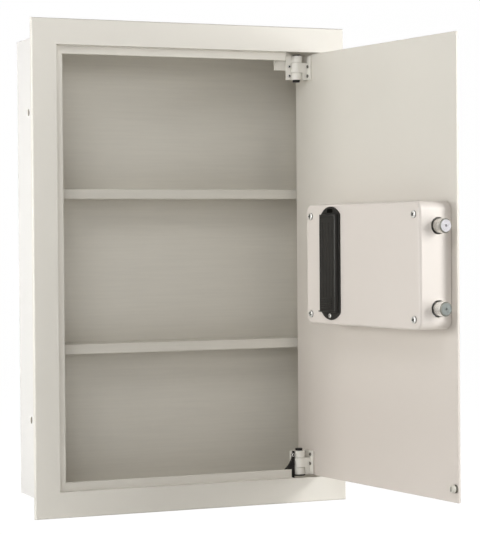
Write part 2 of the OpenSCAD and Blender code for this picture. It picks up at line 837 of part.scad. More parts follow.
// Threaded posts between the door and the cover's face
module cover_posts() {
    color(zinc) on_door() for (p = cover_screw_places()) inside(p[0], p[1]) difference() {
        cylinder(h = cover_d - cover_sheet, r = post_r);
        translate([0, 0, cover_d - cover_sheet - 12]) cylinder(h = 12 + cut, r = screw_thread_r + 0.05);
    }
}

// Battery case: tray in the cover's opening, rim on its face, one ear at each end
module battery_case() {
    pocket_floor = 0.8;
    color(black) on_door() {
        difference() {
            union() {
                inside(battery_x, battery_z, tray_floor_h)
                    translate([-tray_w() / 2, -tray_l() / 2, 0])
                        cube([tray_w(), tray_l(), rim_h - tray_floor_h]);
                inside(battery_x, battery_z, cover_d) {
                    linear_extrude(battery_rim) {
                        square([battery_w, battery_l], center = true);
                        for (e = [-1, 1]) ear_outline(e);
                        translate([battery_w / 2 - 1, battery_l / 2 - 3.5]) square([3, 2.5]);
                    }
                }
            }
            inside(battery_x, battery_z, tray_floor_h + battery_wall)
                translate([-tray_w() / 2 + battery_wall, -tray_l() / 2 + battery_wall, 0])
                    cube([tray_w() - 2 * battery_wall, tray_l() - 2 * battery_wall, cover_d]);
            inside(battery_x, battery_z - ear_hole_z(), cover_d - cut)
                cylinder(h = battery_rim + 2 * cut, r = ear_hole_r);
            inside(battery_x, battery_z + ear_hole_z(), cover_d + pocket_floor) {
                translate([-ear_slot_w / 2 + ear_hole_r, -ear_hole_r, 0])
                    cube([ear_slot_w - 2 * ear_hole_r, 2 * ear_hole_r, battery_rim + cut]);
                for (s = [-1, 1]) translate([s * (ear_slot_w / 2 - ear_hole_r), 0, 0])
                    cylinder(h = battery_rim + cut, r = ear_hole_r);
            }
        }
    }
}

module ear_outline(e) {
    intersection() {
        translate([0, e * (battery_l / 2 + battery_ear - ear_r)]) circle(ear_r);
        translate([-battery_w / 2, e > 0 ? battery_l / 2 - 1 : -battery_l / 2 + 1 - ear_r])
            square([battery_w, ear_r]);
    }
}

// Battery lid: shallow box with bevelled long edges and finger ribs at its lower end
module battery_lid() {
    half_w = battery_w / 2 - lid_inset;
    half_l = battery_l / 2;
    rib_l = half_w;
    color(black) on_door() inside(battery_x, battery_z, rim_h) {
        rotate([90, 0, 0]) translate([0, 0, -half_l]) linear_extrude(battery_l)
            polygon([[-half_w, 0], [half_w, 0], [half_w, battery_lid_h - lid_chamfer],
                     [half_w - lid_chamfer, battery_lid_h], [lid_chamfer - half_w, battery_lid_h],
                     [-half_w, battery_lid_h - lid_chamfer]]);
        for (k = [0:2]) translate([half_w - 3 - rib_l, half_l - 5 - 3 * k, battery_lid_h - touch])
            cube([rib_l, 1.2, 0.6]);
    }
}

module battery_screw() {
    color(steel) on_door() inside(battery_x, battery_z - ear_hole_z(), rim_h)
        cross_screw(2.75, 1.6, screw_thread_r - 0.1, battery_rim + 5);
}

// Four cells in two rows, with their raised ends
module battery_cells() {
    nub_r = 2.6;
    nub_h = 1.1;
    color("dimgray") on_door() for (sx = [-1, 1], k = [-1, 0])
        inside(battery_x + sx * (cell_r + cell_clear / 2), battery_z + k * cell_l, cell_h)
            rotate([90, 0, 0]) {
                cylinder(h = cell_l - nub_h, r = cell_r);
                translate([0, 0, cell_l - nub_h]) cylinder(h = nub_h, r = nub_r);
            }
}

// Flat contact strips at the two ends of the tray
module battery_contacts() {
    strip_t = 0.5;
    strip_w = 2 * cell_r;
    inset = tray_l() / 2 - battery_wall - strip_t;
    color("gold") on_door() for (sx = [-1, 1], e = [-1, 1])
        inside(battery_x + sx * (cell_r + cell_clear / 2), battery_z, cell_h) {
            translate([-strip_w / 2, e > 0 ? inset : -inset - strip_t, -cell_r])
                cube([strip_w, strip_t, 2 * cell_r]);
            translate([0, e * inset, 0]) rotate([e > 0 ? 90 : -90, 0, 0])
                cylinder(h = contact_room() - strip_t - 0.1, r = 3);
        }
}

// Channel on the door whose two walls guide the bolts
module bolt_guide() {
    guide_rim = 1;
    guide_past = 3;
    z0 = -bolt_pitch / 2 - bolt_r - guide_rim;
    wall_h = bolt_h + bolt_r + guide_past;
    color(zinc) on_door() difference() {
        union() {
            block([guide_x, inner_y, lock_z + z0], [guide_end_x, inner_y + guide_t, lock_z - z0]);
            for (x = [guide_x, guide_end_x - guide_t])
                block([x, inner_y + guide_t, lock_z + z0 - guide_past],
                      [x + guide_t, inner_y + wall_h, lock_z - z0 + guide_past]);
        }
        for (z = bolt_zs()) translate([0, inner_y + bolt_h, z])
            rod_x(guide_x - cut, guide_end_x + cut, bolt_r + bolt_fit);
    }
}

// Round bolt with a chamfered end and a riveted shank
module bolt_at(z) {
    color(steel) on_door() translate([0, inner_y + bolt_h, z]) {
        rod_x(bolt_tip_x + bolt_chamfer, bar_x, bolt_r);
        translate([bolt_tip_x, 0, 0]) rotate([0, 90, 0])
            cylinder(h = bolt_chamfer, r1 = bolt_r - bolt_chamfer, r2 = bolt_r);
        rod_x(bar_x, bar_x + bar_t, shank_r);
        rod_x(bar_x + bar_t, bar_x + bar_t + shank_head, shank_r + 1);
    }
}

module upper_bolt() {
    bolt_at(bolt_zs()[1]);
}

module lower_bolt() {
    bolt_at(bolt_zs()[0]);
}

// Bar that joins the bolts, with the yoke for the cam pin and the notched tail
module bolt_bar() {
    reach_z = bolt_pitch / 2 + bar_w / 2;
    y0 = inner_y + yoke_h0;
    color(zinc) on_door() {
        difference() {
            block([bar_x, inner_y + bar_h0, lock_z - reach_z],
                  [bar_x + bar_t, inner_y + bar_h0 + bar_w, lock_z + reach_z]);
            for (z = bolt_zs()) translate([0, inner_y + bolt_h, z])
                rod_x(bar_x - cut, bar_x + bar_t + cut, shank_r + bolt_fit);
        }
        difference() {
            union() {
                block([bar_x + bar_t, y0, lock_z - yoke_low], [slot_x + yoke_half, y0 + yoke_t, tail_z1]);
                block([bar_x + bar_t, y0, tail_z0], [tail_x1, y0 + yoke_t, tail_z1]);
            }
            cam_slot(y0);
            block([plunger_x - plunger_r - plunger_gap, y0 - cut, tail_z1 - notch_depth - plunger_gap],
                  [plunger_x + plunger_r + plunger_gap, y0 + yoke_t + cut, tail_z1 + cut]);
        }
    }
}

// Slot across the travel, as long as the cam pin rises and falls
module cam_slot(y0) {
    half = cam_pin_r + cam_pin_gap;
    z0 = lock_z + cam_rise;
    z1 = lock_z + cam_r;
    block([slot_x - half, y0 - cut, z0], [slot_x + half, y0 + yoke_t + cut, z1]);
    for (z = [z0, z1]) translate([slot_x, y0 - cut, z]) rotate([-90, 0, 0])
        cylinder(h = yoke_t + 2 * cut, r = half);
}

// Knob with a finger bar, in front of the keypad housing
module knob() {
    knob_gap = 0.4;
    base_t = 5;
    bar_half = 4;
    bar_inset = 2;
    color(black) on_door() outside(knob_x, lock_z, pad_d + knob_gap) {
        difference() {
            cylinder(h = base_t, r = knob_r);
            translate([0, 0, -cut]) cylinder(h = spindle_grip + cut, r = spindle_r + 0.02);
        }
        difference() {
            translate([0, 0, base_t]) cylinder(h = knob_d - base_t, r = knob_r - bar_inset);
            for (s = [0, 180]) rotate([0, 0, s]) translate([-knob_r, bar_half, base_t])
                cube([2 * knob_r, knob_r, knob_d]);
        }
    }
}

module knob_spindle() {
    color(steel) on_door() inside(knob_x, lock_z, -door_t - pad_d - spindle_grip)
        cylinder(h = door_t + pad_d + spindle_grip + spindle_end_h, r = spindle_r);
}

// Bushing in the door: its flange lies on the inner face
module spindle_bushing() {
    color("goldenrod") on_door() inside(knob_x, lock_z) difference() {
        union() {
            translate([0, 0, -door_t]) cylinder(h = door_t, r = bushing_r - 0.02);
            cylinder(h = 1.5, r = bushing_r + 2);
        }
        translate([0, 0, -door_t - cut]) cylinder(h = door_t + 3 + cut, r = spindle_r + spindle_fit);
    }
}

// Cam on the spindle: round plate whose pin stands in the yoke's slot
module knob_cam() {
    pin_x = -bolt_throw / 2;
    color(zinc) on_door() {
        inside(knob_x, lock_z, cam_h0) difference() {
            cylinder(h = cam_t, r = cam_disc_r);
            translate([0, 0, -cut]) cylinder(h = cam_t + 2 * cut, r = spindle_r + 0.02);
        }
        inside(knob_x + pin_x, lock_z + cam_rise, cam_h0 + cam_t)
            cylinder(h = yoke_gap + yoke_t + cam_pin_past, r = cam_pin_r);
    }
}

// Solenoid: folded frame on the door, open at the sides
module solenoid_frame() {
    half = coil_w / 2;
    x0 = plunger_x - half;
    x1 = plunger_x + half;
    z1 = coil_z0 + coil_l;
    top_h = plunger_h + half;
    color(zinc) on_door() difference() {
        union() {
            block([x0, inner_y, coil_z0 - solenoid_sheet],
                  [x1, inner_y + solenoid_sheet, z1 + solenoid_sheet]);
            block([x0, inner_y + solenoid_sheet, coil_z0 - solenoid_sheet], [x1, inner_y + top_h, coil_z0]);
            block([x0, inner_y + solenoid_sheet, z1], [x1, inner_y + top_h, z1 + solenoid_sheet]);
        }
        translate([plunger_x, inner_y + plunger_h, coil_z0 - solenoid_sheet - cut])
            cylinder(h = coil_l + 3 * solenoid_sheet + 2 * cut, r = plunger_r + plunger_fit);
    }
}

// Coil on its bobbin, between the frame's two ends
module solenoid_coil() {
    low_h = solenoid_sheet + 0.5;
    flange_half = plunger_h - low_h;
    color("firebrick") on_door() translate([plunger_x, inner_y + plunger_h, coil_z0]) difference() {
        union() {
            cylinder(h = coil_l, r = flange_half - 1.5);
            for (z = [0, coil_l - coil_flange]) translate([0, 0, z])
                cylinder(h = coil_flange, r = flange_half);
        }
        translate([0, 0, -cut]) cylinder(h = coil_l + 2 * cut, r = plunger_r + plunger_fit);
    }
}

// Plunger with the spring's collar, drawn clear of the notch
module solenoid_plunger() {
    color(steel) on_door() translate([plunger_x, inner_y + plunger_h, 0]) {
        translate([0, 0, plunger_tip_z])
            cylinder(h = coil_z0 + coil_l - coil_end_room - plunger_tip_z, r = plunger_r);
        translate([0, 0, collar_z]) difference() {
            cylinder(h = collar_t, r = collar_r);
            translate([0, 0, -cut]) cylinder(h = collar_t + 2 * cut, r = plunger_r - touch);
        }
    }
}

// Points of one ring of the spring's wire
function wire_ring(k, z0, z1) =
    let (turn = k / spring_steps, a = 360 * turn, z = z0 + (z1 - z0) * turn / spring_turns)
    [for (j = [0:spring_sides - 1])
        let (b = 360 * j / spring_sides, q = spring_r + spring_wire_r * cos(b))
        [q * cos(a), q * sin(a), z + spring_wire_r * sin(b)]];

// Return spring between the plunger's collar and the solenoid's frame
module plunger_spring() {
    n = spring_turns * spring_steps;
    m = spring_sides;
    z0 = collar_z + collar_t + spring_wire_r + 0.05;
    z1 = coil_z0 - solenoid_sheet - spring_wire_r - 0.05;
    color(steel) on_door() translate([plunger_x, inner_y + plunger_h, 0]) polyhedron(
        points = [for (k = [0:n]) each wire_ring(k, z0, z1)],
        faces = concat(
            [[for (j = [0:m - 1]) j]],
            [for (k = [0:n - 1], j = [0:m - 1])
                [k * m + j, (k + 1) * m + j, (k + 1) * m + (j + 1) % m, k * m + (j + 1) % m]],
            [[for (j = [m - 1:-1:0]) n * m + j]]));
}

// Circuit board on four feet
module circuit_board() {
    color("darkgreen") on_door()
        block([board_x0, inner_y + board_h, board_z0], [board_x1, inner_y + board_h + board_t, board_z1]);
}

module board_components() {
    top = board_h + board_t;
    mid_x = (board_x0 + board_x1) / 2;
    color("dimgray") on_door() {
        for (x = [board_x0 + board_foot_inset, board_x1 - board_foot_inset],
             z = [board_z0 + board_foot_inset, board_z1 - board_foot_inset]) {
            inside(x, z) cylinder(h = board_h, r = board_foot_r);
            inside(x, z, top) cylinder(h = 1.4, r = board_foot_r);
        }
        inside(mid_x + chip_dx, board_z0 + chip_rise, top)
            translate([-chip_w / 2, -chip_w / 2, 0]) cube([chip_w, chip_w, chip_t]);
        inside(mid_x + can_dx, board_z0 + big_can_rise, top) cylinder(h = big_can_l, r = big_can_r);
        inside(mid_x + can_dx, board_z0 + small_can_rise, top) cylinder(h = small_can_l, r = small_can_r);
        inside(mid_x - can_dx, board_z0 + socket_rise, top)
            translate([-socket_w / 2, -socket_d / 2, 0]) cube([socket_w, socket_d, socket_l]);
    }
}

function key_place(i) = [key_x + (i % 3 - 1) * key_pitch, pad_z + (1.5 - floor(i / 3)) * key_pitch];

// Keypad housing: moulded shell on the door's front
module keypad_housing() {
    color(black) on_door() {
        difference() {
            outside(pad_x, pad_z) soft_box(pad_w, pad_h, pad_d, pad_corner_r, pad_edge_r);
            outside(pad_x, pad_z, -touch)
                round_plate(pad_w - 2 * pad_wall, pad_h - 2 * pad_wall, pad_d - pad_wall + touch,
                            pad_corner_r - pad_wall);
            for (i = [0:11]) outside(key_place(i)[0], key_place(i)[1], pad_d - 2 * pad_wall)
                translate([-key_w / 2 - key_gap, -key_h / 2 - key_gap, 0])
                    cube([key_w + 2 * key_gap, key_h + 2 * key_gap, 3 * pad_wall]);
            outside(knob_x, lock_z, pad_d - 2 * pad_wall) cylinder(h = 3 * pad_wall, r = spindle_r + 0.5);
            outside(lock_x, lock_hole_z, pad_d - 2 * pad_wall)
                cylinder(h = 3 * pad_wall, r = cylinder_r + 0.1);
            for (k = [-1:1]) outside(light_x, light_z(k), pad_d - 2 * pad_wall)
                cylinder(h = 3 * pad_wall, r = light_r + 0.1);
        }
        for (s = [-1, 1]) outside(key_x + s * (pad_board_w / 2 - 1), pad_z)
            translate([-1, -pad_board_h / 2, 0]) cube([2, pad_board_h, board_g]);
    }
}

module keypad_board() {
    color("darkgreen") on_door() outside(key_x, pad_z, board_g)
        translate([-pad_board_w / 2, -pad_board_h / 2, 0]) cube([pad_board_w, pad_board_h, board_t]);
}

// Rubber mat with one dome under each key
module keypad_mat() {
    color("gray") on_door() {
        outside(key_x, pad_z, mat_g)
            translate([-pad_board_w / 2, -pad_board_h / 2, 0]) cube([pad_board_w, pad_board_h, mat_t]);
        for (i = [0:11]) outside(key_place(i)[0], key_place(i)[1], mat_g + mat_t)
            cylinder(h = dome_top_g - mat_g - mat_t, r1 = dome_r, r2 = dome_r - 1);
    }
}

function light_z(k) = pad_z - light_drop + k * light_pitch;

module status_lights() {
    color("darkred") on_door() for (k = [-1:1]) outside(light_x, light_z(k), pad_d - pad_wall - 1) {
        cylinder(h = 1, r = light_r + 0.8);
        translate([0, 0, 1]) cylinder(h = pad_wall + 0.3, r = light_r);
    }
}

// Key with a wider foot that stays behind the housing's face
module key(i) {
    p = key_place(i);
    foot_w = key_w + 2 * key_flange_out;
    foot_h = key_h + 2 * key_flange_out;
    cap_h = pad_d + key_out - key_back_g - key_flange;
    color("gainsboro") on_door() outside(p[0], p[1], key_back_g) {
        translate([-foot_w / 2, -foot_h / 2, 0]) cube([foot_w, foot_h, key_flange]);
        translate([0, 0, key_flange]) round_plate(key_w, key_h, cap_h - 0.5, 1.5);
        translate([0, 0, key_flange + cap_h - 0.5]) round_plate(key_w - 1, key_h - 1, 0.5, 1);
    }
}

// Override lock: body through the door and the housing, held by a nut
module lock_cylinder() {
    length = cylinder_l + door_t + pad_d;
    color(steel) on_door() inside(lock_x, lock_hole_z, -door_t - pad_d) difference() {
        union() {
            cylinder(h = length, r = cylinder_r);
            translate([0, 0, -rose_t]) cylinder(h = rose_t, r = cylinder_r + rose_rim);
        }
        translate([0, 0, -rose_t - cut]) cylinder(h = length + rose_t + 2 * cut, r = plug_r + plug_fit);
    }
}

module lock_nut() {
    color(zinc) on_door() inside(lock_x, lock_hole_z) difference() {
        cylinder(h = nut_t, r = nut_r, $fn = 6);
        translate([0, 0, -cut]) cylinder(h = nut_t + 2 * cut, r = cylinder_r + 0.05, $fn = 64);
    }
}

module lock_plug() {
    front = door_t + pad_d + rose_t;
    color("goldenrod") on_door() inside(lock_x, lock_hole_z, -front) difference() {
        cylinder(h = front + plug_cam_h, r = plug_r);
        translate([-keyway_w / 2, -keyway_l / 2, -cut]) cube([keyway_w, keyway_l, 12]);
    }
}

// Cam on the back of the plug, pointing down while locked
module lock_plug_cam() {
    color(zinc) on_door() inside(lock_x, lock_hole_z, plug_cam_h) difference() {
        union() {
            cylinder(h = plug_cam_t, r = plug_r);
            translate([-plug_cam_r, 0, 0]) cube([2 * plug_cam_r, plug_cam_l - plug_cam_r, plug_cam_t]);
            translate([0, plug_cam_l - plug_cam_r, 0]) cylinder(h = plug_cam_t, r = plug_cam_r);
        }
        translate([0, 0, -cut]) cylinder(h = plug_cam_t + 2 * cut, r = 1.5);
    }
}

cabinet_box();
back_panel();
front_frame();
upper_shelf();
lower_shelf();
shelf_pins();
upper_hinge_bracket();
lower_hinge_bracket();
upper_frame_leaf();
lower_frame_leaf();
hinge_pins();
frame_leaf_screws();
door_panel();
upper_door_leaf();
lower_door_leaf();
door_leaf_screws();
door_bumper();
lock_cover();
cover_screws();
cover_posts();
battery_case();
battery_lid();
battery_screw();
battery_cells();
battery_contacts();
bolt_guide();
solenoid_frame();
solenoid_coil();
plunger_spring();
circuit_board();
board_components();
spindle_bushing();
keypad_housing();
keypad_board();
keypad_mat();
status_lights();
lock_cylinder();
lock_nut();
bolt_bar();
upper_bolt();
lower_bolt();
knob();
knob_spindle();
knob_cam();
solenoid_plunger();
lock_plug();
lock_plug_cam();
key(0);  // key_1
key(1);  // key_2
key(2);  // key_3
key(3);  // key_4
key(4);  // key_5
key(5);  // key_6
key(6);  // key_7
key(7);  // key_8
key(8);  // key_9
key(9);  // key_clear
key(10);  // key_0
key(11);  // key_enter
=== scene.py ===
# %% [markdown]
# # A flush wall safe with its door open
#
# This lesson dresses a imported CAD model: a steel box that drops between two wall studs,
# the frame that covers the edge of the hole, a plate door that stands open, two shelves,
# and an electronic lock on the back of the door. The CAD solids already have the true
# shapes and sizes, so most of the work is in the finishes: powder coat, zinc plate,
# turned steel and grained black plastic. A few small pieces that a lathe or a mould
# gives softer edges than plain CAD are modelled here, each in the place of its CAD node.
#
# Everything is in metres. X points to the hinge side, Y into the wall and Z up.

import bmesh
import bpy
import json
import math
from mathutils import Matrix, Vector


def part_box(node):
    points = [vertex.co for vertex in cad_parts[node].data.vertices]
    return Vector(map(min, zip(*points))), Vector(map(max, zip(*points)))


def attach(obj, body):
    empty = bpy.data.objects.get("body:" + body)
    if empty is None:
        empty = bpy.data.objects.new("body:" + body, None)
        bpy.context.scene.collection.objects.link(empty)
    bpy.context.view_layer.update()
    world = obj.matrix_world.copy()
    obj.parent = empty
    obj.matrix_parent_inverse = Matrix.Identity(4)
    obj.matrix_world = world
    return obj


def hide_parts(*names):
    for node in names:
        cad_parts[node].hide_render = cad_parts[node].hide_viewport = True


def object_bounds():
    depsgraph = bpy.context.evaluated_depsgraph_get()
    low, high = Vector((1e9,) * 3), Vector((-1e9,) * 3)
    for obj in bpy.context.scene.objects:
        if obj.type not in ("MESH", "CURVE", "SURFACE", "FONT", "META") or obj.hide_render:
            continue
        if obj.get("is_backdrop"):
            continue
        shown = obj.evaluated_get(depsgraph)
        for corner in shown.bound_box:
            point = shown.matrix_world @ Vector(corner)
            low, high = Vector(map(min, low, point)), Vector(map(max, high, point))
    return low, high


mm = 0.001
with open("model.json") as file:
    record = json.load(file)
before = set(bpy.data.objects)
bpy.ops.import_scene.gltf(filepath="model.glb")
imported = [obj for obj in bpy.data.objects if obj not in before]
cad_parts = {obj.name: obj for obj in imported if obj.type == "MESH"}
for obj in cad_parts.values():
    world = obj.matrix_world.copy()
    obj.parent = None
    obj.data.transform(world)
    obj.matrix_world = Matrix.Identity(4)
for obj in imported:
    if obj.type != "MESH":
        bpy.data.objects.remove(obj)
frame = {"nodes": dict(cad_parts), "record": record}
nodes = frame["nodes"]
cad_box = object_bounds()
print("CAD box in mm:", [[round(v / mm, 1) for v in corner] for corner in cad_box])

# %% [markdown]
# ## The camera
#
# The photograph was taken with a long lens from the left, at the height of the middle of
# the safe. Its place and turn were solved from the corners of the frame, the shelves and
# the open door. A camera looks along its own -Z, so its matrix has the view's right, up
# and backward directions as columns. The picture is 535 pixels high, and Blender fits the
# 36 mm sensor to that longer side, so the focal length in pixels becomes millimetres by
# 36 / 535.

# %% Camera
camera_place = Vector((-0.80168, -2.04467, 0.03493))
yaw, pitch, roll = 0.3985, -0.0165, -0.0075
focal_pixels = 1907.54
picture_height, sensor = 535, 36

forward = Vector((math.sin(yaw) * math.cos(pitch), math.cos(yaw) * math.cos(pitch),
                  math.sin(pitch)))
level_right = Vector((math.cos(yaw), -math.sin(yaw), 0))
level_up = level_right.cross(forward)
right = level_right * math.cos(roll) + level_up * math.sin(roll)
up = level_up * math.cos(roll) - level_right * math.sin(roll)

camera_data = bpy.data.cameras.new("photo_camera")
camera_data.lens = focal_pixels * sensor / picture_height
camera = bpy.data.objects.new("photo_camera", camera_data)
bpy.context.scene.collection.objects.link(camera)
view_turn = Matrix((right, up, -forward)).transposed().to_4x4()
camera.matrix_world = Matrix.Translation(camera_place) @ view_turn
bpy.context.scene.camera = camera
print("lens in mm:", round(camera_data.lens, 2))

# %% [markdown]
# ## The stage
#
# The safe stands on the lower edge of its frame, on a seamless white sweep. The sweep is
# one bent sheet: a flat floor whose back edge is extruded up into a wall, with a wide bevel
# along the fold.

# %% Sweep of white paper
def points_in(geometry):
    return [g for g in geometry if isinstance(g, bmesh.types.BMVert)]


def round_edges(shape, edges, radius, segments):
    return bmesh.ops.bevel(shape, geom=edges, offset=radius, segments=segments, profile=0.5,
                           affect="EDGES", material=-1)["verts"]


floor_z = cad_box[0].z
half_floor, wall_height, wide_bend = 4, 6, 1.5
near_back = half_floor - 0.1
sweep = bmesh.new()
bmesh.ops.create_grid(sweep, x_segments=1, y_segments=1, size=half_floor)
back_edge = [e for e in sweep.edges if all(v.co.y > near_back for v in e.verts)]
raised = bmesh.ops.extrude_edge_only(sweep, edges=back_edge)["geom"]
bmesh.ops.translate(sweep, vec=(0, 0, wall_height), verts=points_in(raised))
crease_line = [e for e in sweep.edges
               if all(v.co.y > near_back and v.co.z < 0.1 for v in e.verts)]
round_edges(sweep, crease_line, wide_bend, 12)
bmesh.ops.translate(sweep, vec=(0, 0, floor_z), verts=sweep.verts)
sweep_mesh = bpy.data.meshes.new("paper_sweep")
sweep.to_mesh(sweep_mesh)
sweep.free()
paper_sweep = bpy.data.objects.new("paper_sweep", sweep_mesh)
bpy.context.scene.collection.objects.link(paper_sweep)
for face in sweep_mesh.polygons:
    face.use_smooth = True
paper_sweep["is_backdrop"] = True
print("floor at z =", round(floor_z / mm, 1), "mm")

# %% [markdown]
# ## White for the camera, paper for the light
#
# Studio paper that is lit by itself shows plain white, without more light on the object. So
# the paper is mostly a white glow to rays from the camera, off a mirror or through glass,
# and matt paper to all others: it keeps a trace of the safe's shadow and throws light back.

# %% Paper, seen white by the camera
def fill_in(tree, node, inputs):
    # An input takes another node's output, a number or a colour
    for socket, value in inputs.items():
        if isinstance(value, bpy.types.NodeSocket):
            tree.links.new(value, node.inputs[socket])
        else:
            is_colour = node.inputs[socket].type == "RGBA"
            node.inputs[socket].default_value = (*value, 1) if is_colour else value
    return node


def add_node(tree, kind, inputs):
    return fill_in(tree, tree.nodes.new("ShaderNode" + kind), inputs)


def seen_directly(tree):
    # 1 for rays from the camera, off a mirror or through glass, and 0 for the others
    path = tree.nodes.new("ShaderNodeLightPath")
    seen = path.outputs["Is Camera Ray"]
    for kind in ("Is Glossy Ray", "Is Transmission Ray"):
        either = add_node(tree, "Math", {0: seen, 1: path.outputs[kind]})
        either.operation = "MAXIMUM"
        seen = either.outputs[0]
    return seen


glow_strength, glow_share = 1.08, 0.9
paper = bpy.data.materials.new("white_paper")
paper.use_nodes = True
tree = paper.node_tree
tree.nodes.clear()
matt = add_node(tree, "BsdfDiffuse", {"Color": (0.86, 0.86, 0.85)})
glow = add_node(tree, "Emission", {"Strength": glow_strength})
share = add_node(tree, "Math", {0: seen_directly(tree), 1: glow_share})
share.operation = "MULTIPLY"
mix = add_node(tree, "MixShader", {
    "Fac": share.outputs[0], 1: matt.outputs[0], 2: glow.outputs[0]})
add_node(tree, "OutputMaterial", {"Surface": mix.outputs[0]})
sweep_mesh.materials.append(paper)
print("the paper's glow:", glow_strength, "for", glow_share, "of what the camera sees of it")

# %% [markdown]
# ## Light
#
# Three things show where the light stood. The free edge of the door throws a narrow
# shadow band on the end wall of the lock cover, the open door shades the left half of the
# frame, and the shadows of the bolts fall down to the left: so the main light stood to the
# right of the safe and a little above it. Three lamps above one another act as one tall soft
# box there. The left side of the box is nearly white, so two lamps stand on the left.
# Another by the camera and the pale room fill in the rest. The strengths were set by
# comparing patches of the render with the same patches of the photograph.

# %% Lamps
lamp_target = Vector((0, -0.1, 0))
lamps = {
    # name: degrees to the right, degrees up, watts, width and distance in metres
    "key_right": (52, 15, 8.0, 0.5, 1.3),
    "high_right": (52, 40, 1.2, 0.5, 1.3),
    "low_right": (58, -4, 4.8, 0.4, 1.5),
    "front_fill": (-22, 12, 9.6, 1.1, 3.0),
    "left_high": (-45, 38, 3.3, 0.5, 1.3),
    "side_left": (-92, 5, 8.1, 0.5, 1.2),
}
for name, (side_angle, height_angle, watts, width, distance) in lamps.items():
    side, height = math.radians(side_angle), math.radians(height_angle)
    towards = Vector((math.sin(side) * math.cos(height), -math.cos(side) * math.cos(height),
                      math.sin(height)))
    data = bpy.data.lights.new(name, "AREA")
    data.shape = "DISK"
    data.size = width
    data.energy = watts
    lamp = bpy.data.objects.new(name, data)
    lamp.location = lamp_target + towards * distance
    lamp.rotation_euler = (-towards).to_track_quat("-Z", "Y").to_euler()
    lamp.visible_camera = False
    bpy.context.scene.collection.objects.link(lamp)
    print(name, "at", [round(v, 2) for v in lamp.location])

# %% [markdown]
# ## The room
#
# The world lights the safe weakly from all sides, which fills the shadows in the box. To
# the camera it is plain white.

# %% A dim room that is seen white
room_fill, plain_white = 0.24, 1.0
world = bpy.data.worlds.new("studio")
world.use_nodes = True
bpy.context.scene.world = world
tree = world.node_tree
brightness = add_node(tree, "Math", {
    0: seen_directly(tree), 1: plain_white - room_fill, 2: room_fill})
brightness.operation = "MULTIPLY_ADD"
fill_in(tree, tree.nodes["Background"], {"Color": (1, 1, 1), "Strength": brightness.outputs[0]})
bpy.context.scene.view_settings.view_transform = "Standard"
print("room light:", room_fill, "and seen at", plain_white)

# %% [markdown]
# ## How a finish is built
#
# Every finish starts from the same three things: a pattern in the object's own
# coordinates, so that it stays on the piece when the piece moves, a slight change of
# colour and gloss from that pattern, and a bump. The helpers below add one node each and
# hand back its output, so that a finish reads like a recipe.

# %% Helpers for finishes
def new_finish(name, colour, roughness, metallic=0.0, specular=0.5):
    finish = bpy.data.materials.new(name)
    finish.use_nodes = True
    tree = finish.node_tree
    shader = fill_in(tree, tree.nodes["Principled BSDF"], {
        "Base Color": colour, "Roughness": roughness, "Metallic": metallic,
        "Specular IOR Level": specular})
    return finish, tree, shader


def own_coordinates(tree, stretch=(1, 1, 1), turn=(0, 0, 0)):
    place = tree.nodes.new("ShaderNodeTexCoord")
    mapping = add_node(tree, "Mapping", {
        "Vector": place.outputs["Object"], "Scale": stretch, "Rotation": turn})
    return mapping.outputs["Vector"]


def grain(tree, where, scale, detail=2.0, roughness=0.5):
    noise = add_node(tree, "TexNoise", {
        "Vector": where, "Scale": scale, "Detail": detail, "Roughness": roughness})
    return noise.outputs["Fac"]


def spread(tree, value, low, high, start=0.3, end=0.7):
    # Noise stays near its middle, so 0.3 to 0.7 of it already gives the whole range
    fit = add_node(tree, "MapRange", {
        "Value": value, "From Min": start, "From Max": end, "To Min": low, "To Max": high})
    return fit.outputs["Result"]


def mixed(tree, share, first, second, blend="MIX"):
    mix = tree.nodes.new("ShaderNodeMix")
    mix.data_type, mix.blend_type = "RGBA", blend
    return fill_in(tree, mix, {"Factor": share, "A": first, "B": second}).outputs["Result"]


def add_bump(tree, shader, height, depth, strength=1.0, below=None):
    bump = add_node(tree, "Bump", {
        "Height": height, "Distance": depth, "Strength": strength})
    if below:
        fill_in(tree, bump, {"Normal": below})
    fill_in(tree, shader, {"Normal": bump.outputs["Normal"]})
    return bump.outputs["Normal"]


finishes = {}

# %% [markdown]
# ## Powder coat
#
# The box, the frame, the door and the lock cover are sprayed with a cream powder that is
# baked on. It flows into a skin with a fine orange peel, about a millimetre and a half
# from bump to bump, and its shade drifts a little where the coat is thinner. A coat like
# this is satin: it spreads a highlight wide but still has one. The door's coat is painted a
# little darker towards its foot, a painted shade for the light that falls off down the
# door, and the box's sheet shows faint mill lines under the coat.

# %% Cream powder coat
foot_z, head_z = -0.16, 0.16


def powder_coat(name, shade, gloss, low_shade=None, rolled=0.0):
    finish, tree, shader = new_finish(name, shade, gloss)
    where = own_coordinates(tree)
    drift = spread(tree, grain(tree, where, 9, detail=3), 0, 1)
    coat = mixed(tree, drift, [c * 0.975 for c in shade], shade)
    # Painted shade: the coat darkens from head_z down to foot_z
    if low_shade:
        height = add_node(tree, "SeparateXYZ", {0: where})
        rise = spread(tree, height.outputs["Z"], 0, 1, start=foot_z, end=head_z)
        coat = mixed(tree, rise, low_shade, coat)
    if rolled:
        lines = grain(tree, own_coordinates(tree, (0.04, 0.04, 1)), 330, detail=3, roughness=0.6)
        streaks = mixed(tree, spread(tree, lines, 0, 1), [1 - rolled] * 3, (1, 1, 1))
        coat = mixed(tree, 1.0, coat, streaks, blend="MULTIPLY")
    peel = grain(tree, where, 620, detail=1.5)
    fill_in(tree, shader, {
        "Base Color": coat, "Roughness": spread(tree, peel, gloss - 0.05, gloss + 0.07),
        "Coat Weight": 0.12, "Coat Roughness": 0.3})
    fine = add_bump(tree, shader, grain(tree, where, 2400, detail=1), 0.01 * mm, 0.5)
    add_bump(tree, shader, peel, 0.06 * mm, 0.6, below=fine)
    return finish


